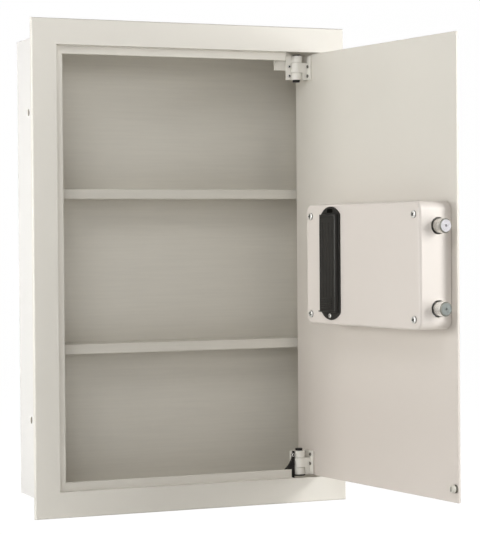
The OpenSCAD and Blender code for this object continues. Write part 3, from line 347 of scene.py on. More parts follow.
finishes.update(
    frame_paint=powder_coat("frame_powder_coat", (0.720, 0.690, 0.625), 0.46),
    box_paint=powder_coat("box_powder_coat", (0.712, 0.680, 0.608), 0.52, rolled=0.045),
    # Painted light: a paler copy of the box's coat for its outer sides
    outer_paint=powder_coat("thin_outer_coat", (0.748, 0.732, 0.700), 0.52),
    # The door's coat takes a painted shade towards its foot
    door_paint=powder_coat("door_powder_coat", (0.690, 0.660, 0.594), 0.44,
                           low_shade=(0.642, 0.588, 0.535)),
    hinge_paint=powder_coat("hinge_powder_coat", (0.790, 0.765, 0.700), 0.36),
    cover_paint=powder_coat("cover_powder_coat", (0.680, 0.628, 0.576), 0.42),
    bumper_metal=powder_coat("painted_bumper", (0.60, 0.575, 0.51), 0.5),
)
print("coats of paint:", len(finishes))

# %% [markdown]
# ## Plated metal
#
# The lock's works are zinc plated: a pale grey metal with small cloudy spangles, which one
# noise gives in both colour and gloss. The cover's screws are nickel plated, and those of
# the hinge leaves have gone dull. The same recipe with finer clouds gives the chrome and
# brass of the key lock, and the darker floors of the screw recesses, a painted shade.

# %% Zinc plate and screws
def plated(name, tint, gloss, cloud=160):
    finish, tree, shader = new_finish(name, tint, gloss, metallic=1.0)
    where = own_coordinates(tree)
    clouds = grain(tree, where, cloud, detail=4, roughness=0.6)
    tones = mixed(tree, spread(tree, clouds, 0, 1), [c * 0.86 for c in tint], tint)
    fill_in(tree, shader, {
        "Base Color": tones, "Roughness": spread(tree, clouds, gloss + 0.08, gloss - 0.06)})
    add_bump(tree, shader, grain(tree, where, 1800, detail=2), 0.01 * mm, 0.4)
    return finish


finishes.update(
    zinc_plate=plated("zinc_plate", (0.68, 0.675, 0.65), 0.42),
    bright_screw=plated("nickel_screw", (0.70, 0.69, 0.66), 0.42, cloud=700),
    dull_screw=plated("dull_leaf_screw", (0.22, 0.21, 0.18), 0.5, cloud=700),
    recess_grey=plated("worn_recess", (0.20, 0.205, 0.19), 0.55, cloud=900),
    lock_chrome=plated("lock_chrome", (0.78, 0.78, 0.78), 0.14, cloud=300),
    brass=plated("turned_brass", (0.80, 0.60, 0.28), 0.3, cloud=400),
)
print("finishes so far:", len(finishes))

# %% [markdown]
# ## Turned steel
#
# A lathe leaves fine rings round the axis of a bolt. The bolts point along Y while the door
# stands open, so their pattern changes quickly along Y and hardly at all across it. In the
# photograph the two bolts and their faced ends mirror different parts of the room, which a
# plain studio hasn't got, so the difference is in their tints.

# %% Steel of the bolts
def turned(name, tint, gloss, mark=0.45):
    finish, tree, shader = new_finish(name, tint, gloss, metallic=1.0)
    specks = grain(tree, own_coordinates(tree), 900, detail=2)
    rings = grain(tree, own_coordinates(tree, (0.05, 1.0, 0.05)), 640, detail=3)
    tones = mixed(tree, spread(tree, rings, 0, 1), [c * mark for c in tint], tint)
    fill_in(tree, shader, {
        "Base Color": tones, "Roughness": spread(tree, specks, gloss - 0.05, gloss + 0.08)})
    add_bump(tree, shader, rings, 0.02 * mm, 0.5)
    return finish


finishes.update(
    bolt_steel=turned("turned_bolt_steel", (0.94, 0.93, 0.89), 0.28),
    # Painted reflection: the tints of the lower bolt's body and of both faced ends stand in for
    # the different reflections of the bolts
    fresh_bolt_steel=turned("fresh_bolt_steel", (0.95, 0.95, 0.93), 0.28, mark=0.78),
    bolt_face_light=plated("faced_bolt_end", (0.300, 0.294, 0.303), 0.5, cloud=700),
    bolt_face_grey=plated("faced_grey_bolt_end", (0.157, 0.169, 0.160), 0.5, cloud=700),
    # Painted shade: a dark tint for the chamfer round each faced end
    bolt_chamfer=plated("shaded_chamfer", (0.22, 0.22, 0.19), 0.45, cloud=700),
)
print("bolt finishes:", ", ".join(name for name in finishes if "bolt" in name))

# %% [markdown]
# ## Black oxide, black plastic and rubber
#
# The lower bracket and the hinge pins are blackened steel: nearly black, with a dull
# sheen. The battery case is moulded in a black plastic whose tool was etched, so it has a
# fine grain that breaks the highlight up. The keypad housing is the same plastic. One
# recipe with another shade, gloss and grain gives them all, and also the keys, the rubber
# mat, the print and the painted shade inside recesses.

# %% Dark finishes
def moulded(name, shade, gloss, size=1500, depth=0.04 * mm, specular=0.45):
    finish, tree, shader = new_finish(name, shade, gloss, specular=specular)
    where = own_coordinates(tree)
    etched = grain(tree, where, size, detail=2, roughness=0.6)
    wide = grain(tree, where, 40, detail=3)
    tones = mixed(tree, spread(tree, wide, 0, 1), [c * 0.8 for c in shade], shade)
    fill_in(tree, shader, {
        "Base Color": tones, "Roughness": spread(tree, etched, gloss - 0.06, gloss + 0.1)})
    add_bump(tree, shader, etched, depth, 0.6)
    return finish


finishes.update(
    dark_steel=moulded("black_oxide", (0.010, 0.008, 0.006), 0.45, size=900, depth=0.02 * mm,
                       specular=0.22),
    black_plastic=moulded("black_battery_plastic", (0.014, 0.013, 0.011), 0.4, specular=0.28),
    lid_plastic=moulded("battery_lid_plastic", (0.019, 0.0178, 0.0155), 0.42, specular=0.26),
    worn_plastic=moulded("rubbed_plastic_edge", (0.060, 0.060, 0.054), 0.3, specular=0.6),
    housing_plastic=moulded("keypad_housing_plastic", (0.020, 0.020, 0.019), 0.48, size=1800,
                            specular=0.35),
    deep_shade=moulded("inside_of_recess", (0.003, 0.003, 0.002), 0.8, specular=0.05),
    recess_olive=moulded("olive_recess", (0.105, 0.100, 0.075), 0.6),
    ink_dark=moulded("dark_print", (0.03, 0.03, 0.03), 0.6),
    ink_pale=moulded("pale_print", (0.62, 0.62, 0.60), 0.6),
    key_plastic=moulded("key_plastic", (0.56, 0.56, 0.55), 0.38, size=2600, depth=0.01 * mm),
    mat_rubber=moulded("rubber_mat", (0.30, 0.30, 0.29), 0.7, size=900),
)
print("finishes so far:", len(finishes))

# %% [markdown]
# ## The works behind the cover
#
# These are seen only where the cover is taken off, but they are finished too: copper wire
# wound on the coil, green boards with dark components, cells in a plain sleeve and red
# lamp lenses.

# %% Coil, boards, cells and lenses
def wound_coil(name):
    finish, tree, shader = new_finish(name, (0.42, 0.16, 0.05), 0.4, metallic=0.3)
    wave = tree.nodes.new("ShaderNodeTexWave")
    wave.bands_direction = "Z"
    fill_in(tree, wave, {"Vector": own_coordinates(tree), "Scale": 520, "Distortion": 0.6})
    turns = mixed(tree, wave.outputs["Fac"], (0.20, 0.06, 0.02), (0.50, 0.20, 0.07))
    fill_in(tree, shader, {"Base Color": turns})
    add_bump(tree, shader, wave.outputs["Fac"], 0.1 * mm, 0.8)
    return finish


def circuit_green(name):
    finish, tree, shader = new_finish(name, (0.02, 0.16, 0.06), 0.32)
    tracks = add_node(tree, "TexBrick", {
        "Vector": own_coordinates(tree, turn=(math.radians(90), 0, 0)), "Scale": 260,
        "Mortar Size": 0.05, "Color1": (0.015, 0.130, 0.045), "Color2": (0.018, 0.155, 0.055),
        "Mortar": (0.060, 0.300, 0.110)})
    fill_in(tree, shader, {"Base Color": tracks.outputs["Color"]})
    add_bump(tree, shader, grain(tree, own_coordinates(tree), 1500), 0.01 * mm, 0.4)
    return finish


finishes.update(
    coil_wrap=wound_coil("copper_winding"),
    board_green=circuit_green("green_board"),
    component_dark=moulded("component_body", (0.05, 0.05, 0.055), 0.4, size=2200),
    cell_wrap=moulded("cell_sleeve", (0.10, 0.12, 0.15), 0.28, size=500, depth=0.01 * mm),
    light_lens=moulded("red_lens", (0.36, 0.02, 0.015), 0.15, size=800, depth=0.01 * mm),
)
print("finishes in all:", len(finishes))

# %% [markdown]
# ## Dressing the CAD nodes
#
# The record gives each CAD node a material slot, and that names its finish.

# %% Give every CAD node its finish
slot_of = {part["node"]: part["material_slot"] for part in frame["record"]["subparts"]}
for name, piece in nodes.items():
    piece.data.materials.clear()
    piece.data.materials.append(finishes[slot_of[name]])
print("CAD nodes dressed:", len(nodes))

# %% [markdown]
# ## The door's swing
#
# The door stands open by 97 degrees, so nothing on it is square to the axes. What is
# modelled new for it is drawn as if the door were shut, and swung open at the end. A new
# piece stands for a CAD node and rides on the body that carries the node.

# %% The swing, and how a piece is made
behaviour = frame["record"]["behaviour"]
hinge = next(j for j in behaviour["joints"] if j["name"] == "door_hinge")
hinge_line = Vector(hinge["pos_m"])
opening = -math.radians(hinge["range_deg"][0])
swing = (Matrix.Translation(hinge_line) @ Matrix.Rotation(opening, 4, "Z")
         @ Matrix.Translation(-hinge_line))
still = Matrix()
body_of = {node: body for body, names in behaviour["bodies"].items() for node in names}
same_point = 0.000001


def make_piece(name, shape, finish, turn=still, stands_for=None, rides_on=None, sharp=35):
    bmesh.ops.remove_doubles(shape, verts=shape.verts, dist=same_point)
    bmesh.ops.recalc_face_normals(shape, faces=shape.faces)
    bmesh.ops.transform(shape, matrix=turn, verts=shape.verts)
    mesh = bpy.data.meshes.new(name)
    shape.to_mesh(mesh)
    shape.free()
    for face in mesh.polygons:
        face.use_smooth = True
    if sharp:
        mesh.set_sharp_from_angle(angle=math.radians(sharp))
    mesh.materials.append(finish)
    piece = bpy.data.objects.new(name, mesh)
    bpy.context.scene.collection.objects.link(piece)
    if stands_for:
        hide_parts(stands_for)
    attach(piece, rides_on or body_of[stands_for])
    return piece


def door_piece(name, shape, node, sharp=None, finish=None):
    finish = finish or finishes[slot_of[node]]
    return make_piece(name, shape, finish, turn=swing, stands_for=node, sharp=sharp)


print("door open by", round(math.degrees(opening), 1), "degrees")

# %% [markdown]
# ## Softened sheet metal
#
# Folded and painted sheet has no knife edges: the coat rounds them by a few tenths of a
# millimetre, and that thin rounding is what catches the light along every fold. A CAD node
# is loose triangles, so each one is copied, its doubles are merged, flat neighbours are
# dissolved into whole faces, and a Bevel modifier rounds what is left of its sharp edges.
# The rounded copy then stands for the node.

# %% Copy a node and round its edges
def coat_of(node):
    # The coats of the door and the hinge leaves differ a little from that of their slot
    if node.endswith("_leaf"):
        return finishes["hinge_paint"]
    return finishes["door_paint" if node == "door_panel" else slot_of[node]]


def copied(node):
    shape = bmesh.new()
    shape.from_mesh(nodes[node].data)
    bmesh.ops.remove_doubles(shape, verts=shape.verts, dist=same_point)
    return shape


def whole_faces(node, turn=still):
    shape = copied(node)
    bmesh.ops.dissolve_limit(shape, angle_limit=math.radians(0.5), verts=shape.verts,
                             edges=shape.edges)
    bmesh.ops.transform(shape, matrix=turn.inverted(), verts=shape.verts)
    return shape


def soften(node, radius, angle=40, segments=2, shape=None, turn=still, fold=None, fold_radius=0):
    # `fold` picks the edges of a long bend, which is rounded wider than a cut edge
    shape = shape or whole_faces(node)
    widest = max(radius, fold_radius)
    share = shape.edges.layers.float.new("bevel_weight_edge")
    for edge in shape.edges:
        if len(edge.link_faces) == 2 and edge.calc_face_angle() > math.radians(angle):
            edge[share] = 1.0 if fold and fold(edge) else radius / widest
    piece = make_piece("soft_" + node, shape, coat_of(node), turn=turn, stands_for=node,
                       sharp=None)
    rounding = piece.modifiers.new("soft_edge", "BEVEL")
    rounding.width = widest
    rounding.segments = segments
    rounding.limit_method = "WEIGHT"
    rounding.use_clamp_overlap = False
    shading = piece.modifiers.new("flat_faces_stay_flat", "WEIGHTED_NORMAL")
    shading.mode = "FACE_AREA"
    shading.weight = 100
    return piece


# %% Round the edges of the painted sheet and the works
edge_radius = {
    # in mm
    "door_panel": 0.5, "upper_hinge_bracket": 0.35, "lower_hinge_bracket": 0.35,
    "upper_frame_leaf": 0.3, "lower_frame_leaf": 0.3, "hinge_pins": 0.25,
    "battery_case": 0.35, "keypad_housing": 0.35, "lock_cylinder": 0.3, "lock_nut": 0.3,
    "lock_plug": 0.12, "lock_plug_cam": 0.2, "bolt_guide": 0.25, "bolt_bar": 0.25,
    "solenoid_frame": 0.2, "knob_cam": 0.2,
}
for node, radius in edge_radius.items():
    soften(node, radius * mm)
print("nodes softened:", len(edge_radius))

# %% [markdown]
# ## The box
#
# The outer sides of the box get a paler coat: painted light, for the strong light that
# falls on the box's left side. A face whose middle lies on the sides of the node's own box
# is an outer one, and gets that paler coat as its second material.

# %% Box with painted light on its outer side
skin = 0.1 * mm
low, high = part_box("cabinet_box")
shape = whole_faces("cabinet_box")
for face in shape.faces:
    spot = face.calc_center_median()
    if min(spot.x - low.x, high.x - spot.x, spot.z - low.z, high.z - spot.z) < skin:
        face.material_index = 1
box = soften("cabinet_box", 0.45 * mm, shape=shape)
box.data.materials.append(finishes["outer_paint"])
print("outer faces:", sum(face.material_index for face in box.data.polygons))

# %% [markdown]
# ## Shelves
#
# The front of a shelf is folded down, so its upper front edge is a wide bend, while the cut
# edges stay nearly sharp. The same Bevel modifier does both, because its width follows a
# weight on each edge.

# %% Shelves with a wide bend
hair = 0.01 * mm
for node in ("upper_shelf", "lower_shelf"):
    low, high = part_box(node)
    top, front = high.z - hair, low.y + hair
    soften(node, 0.35 * mm, segments=4, fold_radius=1.3 * mm,
           fold=lambda edge: all(v.co.z > top and v.co.y < front for v in edge.verts))
    print(node, "bend at z =", round(high.z / mm, 1), "mm")

# %% [markdown]
# ## The frame and its door stop
#
# The inner edge of the frame steps back to a stop that the door shuts against, and the
# stop's own edge is rolled over. Three thin rods laid along its left, upper and lower edges
# give that roll. Their places are measured on the frame's mesh.

# %% Frame with the rolled edge of its stop
stop_depth, opening_half, left_part = 9 * mm, 170 * mm, -100 * mm
near, roll_radius = 0.1 * mm, 0.8 * mm
shape = whole_faces("front_frame")
stop_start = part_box("front_frame")[0].y + stop_depth
stop = [v.co.copy() for v in shape.verts if v.co.y > stop_start and abs(v.co.x) < opening_half]
side_x = max(point.x for point in stop if point.x < left_part)
left_edge = [point for point in stop if abs(point.x - side_x) < near]
foot, head = min(point.z for point in left_edge), max(point.z for point in left_edge)
edge_y = min(point.y for point in left_edge)
rods = [((side_x, foot), (side_x, head))]
for level in (foot, head):
    reach = max(point.x for point in stop if abs(point.z - level) < near)
    rods.append(((side_x, level), (reach, level)))
for (x0, z0), (x1, z1) in rods:
    rod = bmesh.ops.create_cone(shape, cap_ends=True, segments=24, radius1=roll_radius,
                                radius2=roll_radius, depth=math.hypot(x1 - x0, z1 - z0))["verts"]
    if z0 == z1:
        bmesh.ops.rotate(shape, cent=(0, 0, 0), verts=rod,
                         matrix=Matrix.Rotation(math.radians(90), 3, "Y"))
    bmesh.ops.translate(shape, verts=rod,
                        vec=((x0 + x1) / 2, edge_y + roll_radius * 0.8, (z0 + z1) / 2))
soften("front_frame", 0.5 * mm, shape=shape)
print("stop rolled at x =", round(side_x / mm, 1), "z =", round(foot / mm, 1), round(head / mm, 1))

# %% [markdown]
# ## Where things sit on the shut door
#
# The places below come from the CAD nodes themselves: a node's points are swung back to the
# shut door, and the box round them gives middle, radius and length. A node that holds
# several fasteners is walked through edge by edge, so that each of its solids gets its own
# box.

# %% Measure nodes in a chosen frame
def box_round(points):
    return (Vector([min(point[i] for point in points) for i in range(3)]),
            Vector([max(point[i] for point in points) for i in range(3)]))


def solids_of(node, turn):
    shape = copied(node)
    bmesh.ops.transform(shape, matrix=turn.inverted(), verts=shape.verts)
    left = set(shape.verts)
    boxes = []
    while left:
        solid = [left.pop()]
        for vert in solid:
            for edge in vert.link_edges:
                other = edge.other_vert(vert)
                if other in left:
                    left.remove(other)
                    solid.append(other)
        boxes.append(box_round([v.co for v in solid]))
    shape.free()
    return sorted(boxes, key=lambda b: (round(b[0].z, 5), round(b[0].x, 5)))


def shut_box(node):
    return box_round([corner for solid in solids_of(node, swing) for corner in solid])


door_back = shut_box("door_panel")[1].y
print("inner side of the shut door at y =", round(door_back / mm, 2), "mm")

# %% [markdown]
# ## The door's hinge leaves
#
# On the open door each leaf is rolled round the pin from the near side, so from the front
# only a short slot at the end of the barrel lets one see behind it. The CAD leaf has its
# neck on the far side. The copies here get the near neck too, as tall as the middle knuckle,
# and below it a lower web that stays clear of the frame's knuckle. The flat plate of a leaf
# has the same coat as the door.

# %% Leaves with a near neck
leaf_sheet, sunk, overlap = 1.5 * mm, 0.5 * mm, 0.1 * mm
knuckle_start, knuckle_gap, plate_zone = 6 * mm, 4.6 * mm, 1.6 * mm


def add_block(shape, size, middle=(0, 0, 0)):
    corners = bmesh.ops.create_cube(shape, size=1)["verts"]
    bmesh.ops.scale(shape, vec=size, verts=corners)
    bmesh.ops.translate(shape, vec=middle, verts=corners)
    return corners


for node in ("upper_door_leaf", "lower_door_leaf"):
    shape = whole_faces(node, swing)
    plate = min(v.co.y for v in shape.verts)
    knuckle = [v.co.copy() for v in shape.verts if v.co.y > plate + knuckle_start]
    near_x = min(point.x for point in knuckle)
    knuckle_foot, knuckle_head = min(p.z for p in knuckle), max(p.z for p in knuckle)
    leaf_foot = min(v.co.z for v in shape.verts)
    for reach_y, foot, head in (
            (hinge_line.y, knuckle_foot, knuckle_head),
            (hinge_line.y - knuckle_gap, leaf_foot, knuckle_foot + overlap)):
        add_block(shape, (leaf_sheet, reach_y - plate - sunk, head - foot),
                  (near_x + leaf_sheet / 2, (reach_y + plate + sunk) / 2, (head + foot) / 2))
    for face in shape.faces:
        if face.calc_center_median().y < plate + plate_zone:
            face.material_index = 1
    leaf = soften(node, 0.3 * mm, shape=shape, turn=swing)
    leaf.data.materials.append(finishes["door_paint"])
    print(node, "neck in mm:", round((knuckle_head - knuckle_foot) / mm, 1))

# %% [markdown]
# ## Screw heads
#
# A head starts as a grid of three by three faces, which is already a cross in a square.
# The cross is pushed down for the recess. The rim of the grid is extruded out to a ring of
# twelve points, then down over the dome to the seat and on to the shank. Creases keep the
# recess crisp when the subdivision rounds the rest.

# %% A head with a cross or a slot
def grow(shape, rim):
    grown = bmesh.ops.extrude_edge_only(shape, edges=rim)["geom"]
    return points_in(grown), [g for g in grown if isinstance(g, bmesh.types.BMEdge)]


def headed(radius, height, shank_radius, shank_length, depth, arm=0.166, slot_only=False):
    # `arm` is half the width of the cross, as a share of the radius
    shape = bmesh.new()
    bmesh.ops.create_grid(shape, x_segments=3, y_segments=3, size=1)
    reach, half = 0.62 * radius, arm * radius
    for vert in shape.verts:
        on_rim = [abs(vert.co[i]) > 0.5 for i in range(2)]
        for i in range(2):
            vert.co[i] = math.copysign(reach if on_rim[i] else half, vert.co[i])
        vert.co.z = height * (0.90 if all(on_rim) else 0.97 if any(on_rim) else 1.0)
    crease = shape.edges.layers.float.new("crease_edge")
    recess = []
    for face in shape.faces:
        spot = face.calc_center_median()
        if abs(spot.x) < half or (abs(spot.y) < half and not slot_only):
            recess.append(face)

    # The dome, by shares of the radius and the height, and then the shank
    rim = [e for e in shape.edges if e.is_boundary]
    step = math.radians(30)
    for share, level in [(0.93, 0.80), (1.0, 0.42), (1.0, 0.03), (0.98, 0.0)]:
        points, rim = grow(shape, rim)
        for vert in points:
            angle = (math.floor(math.atan2(vert.co.y, vert.co.x) / step) + 0.5) * step
            vert.co = Vector((math.cos(angle) * radius * share, math.sin(angle) * radius * share,
                              height * level))
    for level in (0.0, -shank_length):
        points, rim = grow(shape, rim)
        for vert in points:
            flat = Vector((vert.co.x, vert.co.y, 0)).normalized() * shank_radius
            vert.co = Vector((flat.x, flat.y, level))
    bmesh.ops.contextual_create(shape, geom=rim)

    # The recess, a little narrower at its floor
    for edge in {e for face in recess for e in face.edges}:
        if sum(face in recess for face in edge.link_faces) == 1:
            edge[crease] = 0.7
    floor_points = points_in(bmesh.ops.extrude_face_region(shape, geom=recess)["geom"])
    bmesh.ops.delete(shape, geom=recess, context="FACES_KEEP_BOUNDARY")
    bmesh.ops.scale(shape, vec=(0.86, 0.86, 1), verts=floor_points)
    bmesh.ops.translate(shape, vec=(0, 0, -depth), verts=floor_points)

    # The recess and the foot of the dome take the second material, a painted shade
    shape.normal_update()
    for face in shape.faces:
        spot = face.calc_center_median()
        inside = math.hypot(spot.x, spot.y) < 0.75 * radius
        pushed_in = inside and 0 < spot.z < height - 0.3 * depth
        skirt = spot.z < 0.5 * height and abs(face.normal.z) < 0.9
        face.material_index = 1 if pushed_in or skirt else 0
    return shape


# %% [markdown]
# ## Screws in their places
#
# Every set of screws takes its places, radius and length from the solids of its CAD node. A
# head is drawn with its height along Z and copied to each place, with Z turned to the inner
# side or to the front, and spun by its own angle, because nobody lines screws up.

# %% Cover, battery and hinge screws
def facing(middle, side, spin=0.0):
    # Local Z turned to the inner side (+1) or the front (-1) of the shut door
    tilt = Matrix.Rotation(math.radians(-90 * side), 4, "X")
    return Matrix.Translation(middle) @ tilt @ Matrix.Rotation(math.radians(spin), 4, "Z")


def repeat(shape, places):
    first = list(shape.verts) + list(shape.edges) + list(shape.faces)
    copies = [first] + [bmesh.ops.duplicate(shape, geom=first)["geom"] for _ in places[1:]]
    for copy, place in zip(copies, places):
        bmesh.ops.transform(shape, matrix=place, verts=points_in(copy))


def smoothed(piece, levels):
    rounding = piece.modifiers.new("smooth", "SUBSURF")
    rounding.levels = levels
    rounding.render_levels = levels
    return piece


def screw_set(name, node, turn, side, depth, spins, head_height, arm=0.166):
    boxes = solids_of(node, turn)
    first = boxes[0]
    radius = (first[1].z - first[0].z) / 2
    seats = []
    for (low, high), spin in zip(boxes, spins):
        middle = (low + high) / 2
        middle.y = (high.y - head_height) if side > 0 else (low.y + head_height)
        seats.append(facing(middle, side, spin))
    length = first[1].y - first[0].y - head_height
    shape = headed(radius, head_height, 0.4 * radius, length, depth, arm)
    repeat(shape, seats)
    piece = make_piece(name, shape, finishes[slot_of[node]], turn=turn, stands_for=node,
                       sharp=None)
    # The second material darkens the recess and the foot of the head: painted shade
    piece.data.materials.append(finishes["recess_grey"])
    print(name, "radius in mm:", round(radius / mm, 2), "heads:", len(boxes))
    return smoothed(piece, 2)


screw_set("cover_screw_heads", "cover_screws", swing, 1, 1.5 * mm, (12, -20, 35, 5), 2.2 * mm)
screw_set("battery_screw_head", "battery_screw", swing, 1, 1.0 * mm, (20,), 1.6 * mm)
door_heads = screw_set("door_leaf_screw_heads", "door_leaf_screws", swing, 1, 0.7 * mm,
                       (10, 40, -15, 25), 1.0 * mm)
frame_heads = screw_set("frame_leaf_screw_heads", "frame_leaf_screws", still, -1, 0.7 * mm,
                        (-30, 15, 5, 38), 1.0 * mm, arm=0.3)
door_heads.data.materials[0] = finishes["dull_screw"]
# Painted shade: the recesses of the leaf screws are near black
door_heads.data.materials[1] = frame_heads.data.materials[1] = finishes["deep_shade"]

# %% The lowest screw is blackened, as its bracket is
blackened_zone = 6 * mm
frame_heads.data.materials.append(finishes["dark_steel"])
lowest = min(v.co.z for v in frame_heads.data.vertices)
for face in frame_heads.data.polygons:
    if face.center.z < lowest + blackened_zone:
        face.material_index = 2
print("blackened up to z =", round((lowest + blackened_zone) / mm, 1), "mm")

# %% [markdown]
# ## Bolts
#
# The bolts are turned on a lathe: a faced end with a centre hole and two faint rings, a
# chamfer, and behind it a long plain barrel that steps down to a neck and a head in the
# bar. Spinning one line round the axis does the same.

# %% Turned bolts
faced_end = [
    # radius and depth in mm: the centre hole, then the two rings
    (0, 1.6), (1.1, 0.5), (1.5, 0), (2.9, 0), (3.0, 0.12), (3.3, 0.12), (3.4, 0),
    (5.0, 0), (5.1, 0.12), (5.35, 0.12), (5.45, 0),
]
chamfer, head_length = 1.3 * mm, 2 * mm


def lathe(profile, steps):
    # Turns a line of (radius, height) round Z
    shape = bmesh.new()
    line = [shape.verts.new((radius, 0, height)) for radius, height in profile]
    edges = [shape.edges.new(pair) for pair in zip(line, line[1:])]
    bmesh.ops.spin(shape, geom=line + edges, cent=(0, 0, 0), axis=(0, 0, 1), dvec=(0, 0, 0),
                   angle=math.radians(360), steps=steps, use_merge=True)
    return shape


def turned_bolt(name, node, side_finish, end_finish):
    low, high = shut_box(node)
    middle = (low + high) / 2
    radius, length = (high.z - low.z) / 2, high.x - low.x
    barrel = shut_box("bolt_bar")[0].x - low.x
    neck, head = 0.62 * radius, 0.75 * radius
    profile = [(ring * mm, depth * mm) for ring, depth in faced_end]
    profile += [(radius - chamfer, 0), (radius, chamfer), (radius, barrel), (neck, barrel),
                (neck, length - head_length), (head, length - head_length), (head, length),
                (0, length)]
    shape = lathe(profile, 72)
    place = (Matrix.Translation((low.x, middle.y, middle.z))
             @ Matrix.Rotation(math.radians(90), 4, "Y"))
    bmesh.ops.transform(shape, matrix=place, verts=shape.verts)
    piece = door_piece(name, shape, node, sharp=30, finish=side_finish)
    piece.data.materials.append(end_finish)
    # The third material is the chamfer's painted shade
    piece.data.materials.append(finishes["bolt_chamfer"])
    for face in piece.data.polygons:
        spot = swing.inverted() @ face.center
        if spot.x < low.x + chamfer * 1.01:
            from_axis = math.hypot(spot.y - middle.y, spot.z - middle.z)
            face.material_index = 2 if from_axis > radius - chamfer else 1
    print(name, "radius in mm:", round(radius / mm, 2), "length:", round(length / mm, 1))


turned_bolt("turned_upper_bolt", "upper_bolt", finishes["bolt_steel"],
            finishes["bolt_face_light"])
turned_bolt("turned_lower_bolt", "lower_bolt", finishes["fresh_bolt_steel"],
            finishes["bolt_face_grey"])

# %% [markdown]
# ## Bumper
#
# The bumper is a painted disc with a slot for a screwdriver, so it is a screw head with one
# arm of the cross, whose dome is pulled nearly flat. Its slot and the foot of its head are
# darkened olive, a painted shade.

# %% Slotted bumper
dome_start, flattening = 0.79, 0.6
low, high = shut_box("door_bumper")
middle = (low + high) / 2
bumper_radius, bumper_height = (high.z - low.z) / 2, high.y - door_back
shape = headed(bumper_radius, bumper_height, 1.5 * mm, door_back - low.y, 1.2 * mm,
               slot_only=True)
for vert in shape.verts:
    if vert.co.z > dome_start * bumper_height:
        vert.co.z += (bumper_height - vert.co.z) * flattening
repeat(shape, [facing(Vector((middle.x, door_back, middle.z)), 1)])
bumper = door_piece("slotted_bumper", shape, "door_bumper")
# The second material darkens the slot and the foot of the bumper: painted shade
smoothed(bumper, 2).data.materials.append(finishes["recess_olive"])
print("bumper radius in mm:", round(bumper_radius / mm, 1))

# %% [markdown]
# ## Knob
#
# The knob on the front has a skirt, a hollowed top and a finger bar that tapers upwards. The
# skirt is spun, and the bar is a block whose upper end is scaled in before its edges are
# rounded. A pale line near one end of the bar shows where the knob points.

# %% Knob with a finger bar
def edges_of(points):
    return list({edge for point in points for edge in point.link_edges})


low, high = shut_box("knob")
middle = (low + high) / 2
knob_radius, knob_height = (high.x - low.x) / 2, high.y - low.y
skirt, root = 5 * mm, 1.5 * mm
shape = lathe([(3.2 * mm, 0), (knob_radius - 0.6 * mm, 0), (knob_radius, 0.6 * mm),
               (knob_radius, skirt - 1.2 * mm), (knob_radius - 0.4 * mm, skirt - 0.4 * mm),
               (knob_radius - 1.2 * mm, skirt), (knob_radius - 2.6 * mm, skirt + 0.1 * mm),
               (0, skirt - 0.5 * mm)], 96)
bar_height = knob_height - skirt + root
bar = add_block(shape, (2 * knob_radius - 5 * mm, 8 * mm, bar_height),
                (0, 0, knob_height - bar_height / 2))
bar_top = knob_height - 1 * mm
bmesh.ops.scale(shape, vec=(0.93, 0.72, 1), verts=[v for v in bar if v.co.z > bar_top])
bar_edges = [e for e in edges_of(bar) if max(v.co.z for v in e.verts) > bar_top]
round_edges(shape, bar_edges, 1.6 * mm, 5)
knob_place = facing(Vector((middle.x, high.y, middle.z)), -1)
repeat(shape, [knob_place])
door_piece("finger_knob", shape, "knob", sharp=40)
print("knob radius in mm:", round(knob_radius / mm, 1), "height:", round(knob_height / mm, 1))

# %% Pale pointer line
shape = bmesh.new()
add_block(shape, (7 * mm, 1.2 * mm, 0.3 * mm))
round_edges(shape, list(shape.edges), 0.1 * mm, 2)
bmesh.ops.translate(shape, vec=(knob_radius - 8 * mm, 0, knob_height), verts=shape.verts)
repeat(shape, [knob_place])
pointer = make_piece("knob_pointer_line", shape, finishes["ink_pale"], turn=swing,
                     rides_on="knob_assembly")
print("pointer faces:", len(pointer.data.polygons))

# %% [markdown]
# ## Battery lid
#
# The lid is one moulding: a shallow tray turned over, with a bevel all round and a flat
# panel sunk a little into its face. A block, one bevel and two insets make it.

# %% Mould the lid
low, high = shut_box("battery_lid")
lid_size = high - low
lid_middle = (low + high) / 2
lid_place = facing(Vector((lid_middle.x, low.y, lid_middle.z)), 1)
face_height, panel_sink = lid_size.y - 0.6 * mm, 0.4 * mm
near_face = 0.9 * face_height
shape = bmesh.new()
add_block(shape, (lid_size.x, lid_size.z, face_height), (0, 0, face_height / 2))
upper_edges = [e for e in shape.edges if min(v.co.z for v in e.verts) > near_face]
round_edges(shape, upper_edges, 1.1 * mm, 3)
top = [f for f in shape.faces if f.normal.z > 0.99 and f.calc_center_median().z > near_face]
bmesh.ops.inset_region(shape, faces=top, thickness=1.6 * mm, depth=0)
bmesh.ops.inset_region(shape, faces=top, thickness=0.3 * mm, depth=-panel_sink)
print("lid in mm:", [round(v / mm, 1) for v in lid_size])

# %% [markdown]
# ## Ribs of the lid
#
# Four faint ribs run down the panel, a block of finger ribs lies at the lower end, a tab
# reaches out at a lower corner, and a bar along one long edge is painted lighter, a painted
# highlight. All are rounded bars.

# %% Ribs, tab and an edge with a painted highlight
half_w, half_l = lid_size.x / 2, lid_size.z / 2
panel_pitch, finger_pitch, finger_start = 6.4 * mm, 2.6 * mm, 5 * mm
off_centre, finger_width = 1.5 * mm, 0.62 * lid_size.x
panel_ribs, finger_ribs = 4, 5


def rib(shape, x, y, width, length, height, level):
    bar = add_block(shape, (width, length, height))
    rounded = round_edges(shape, edges_of(bar), 0.3 * min(width, length, height), 2)
    points = {v for v in list(rounded) + list(bar) if v.is_valid}
    bmesh.ops.translate(shape, vec=(x, y, level), verts=list(points))


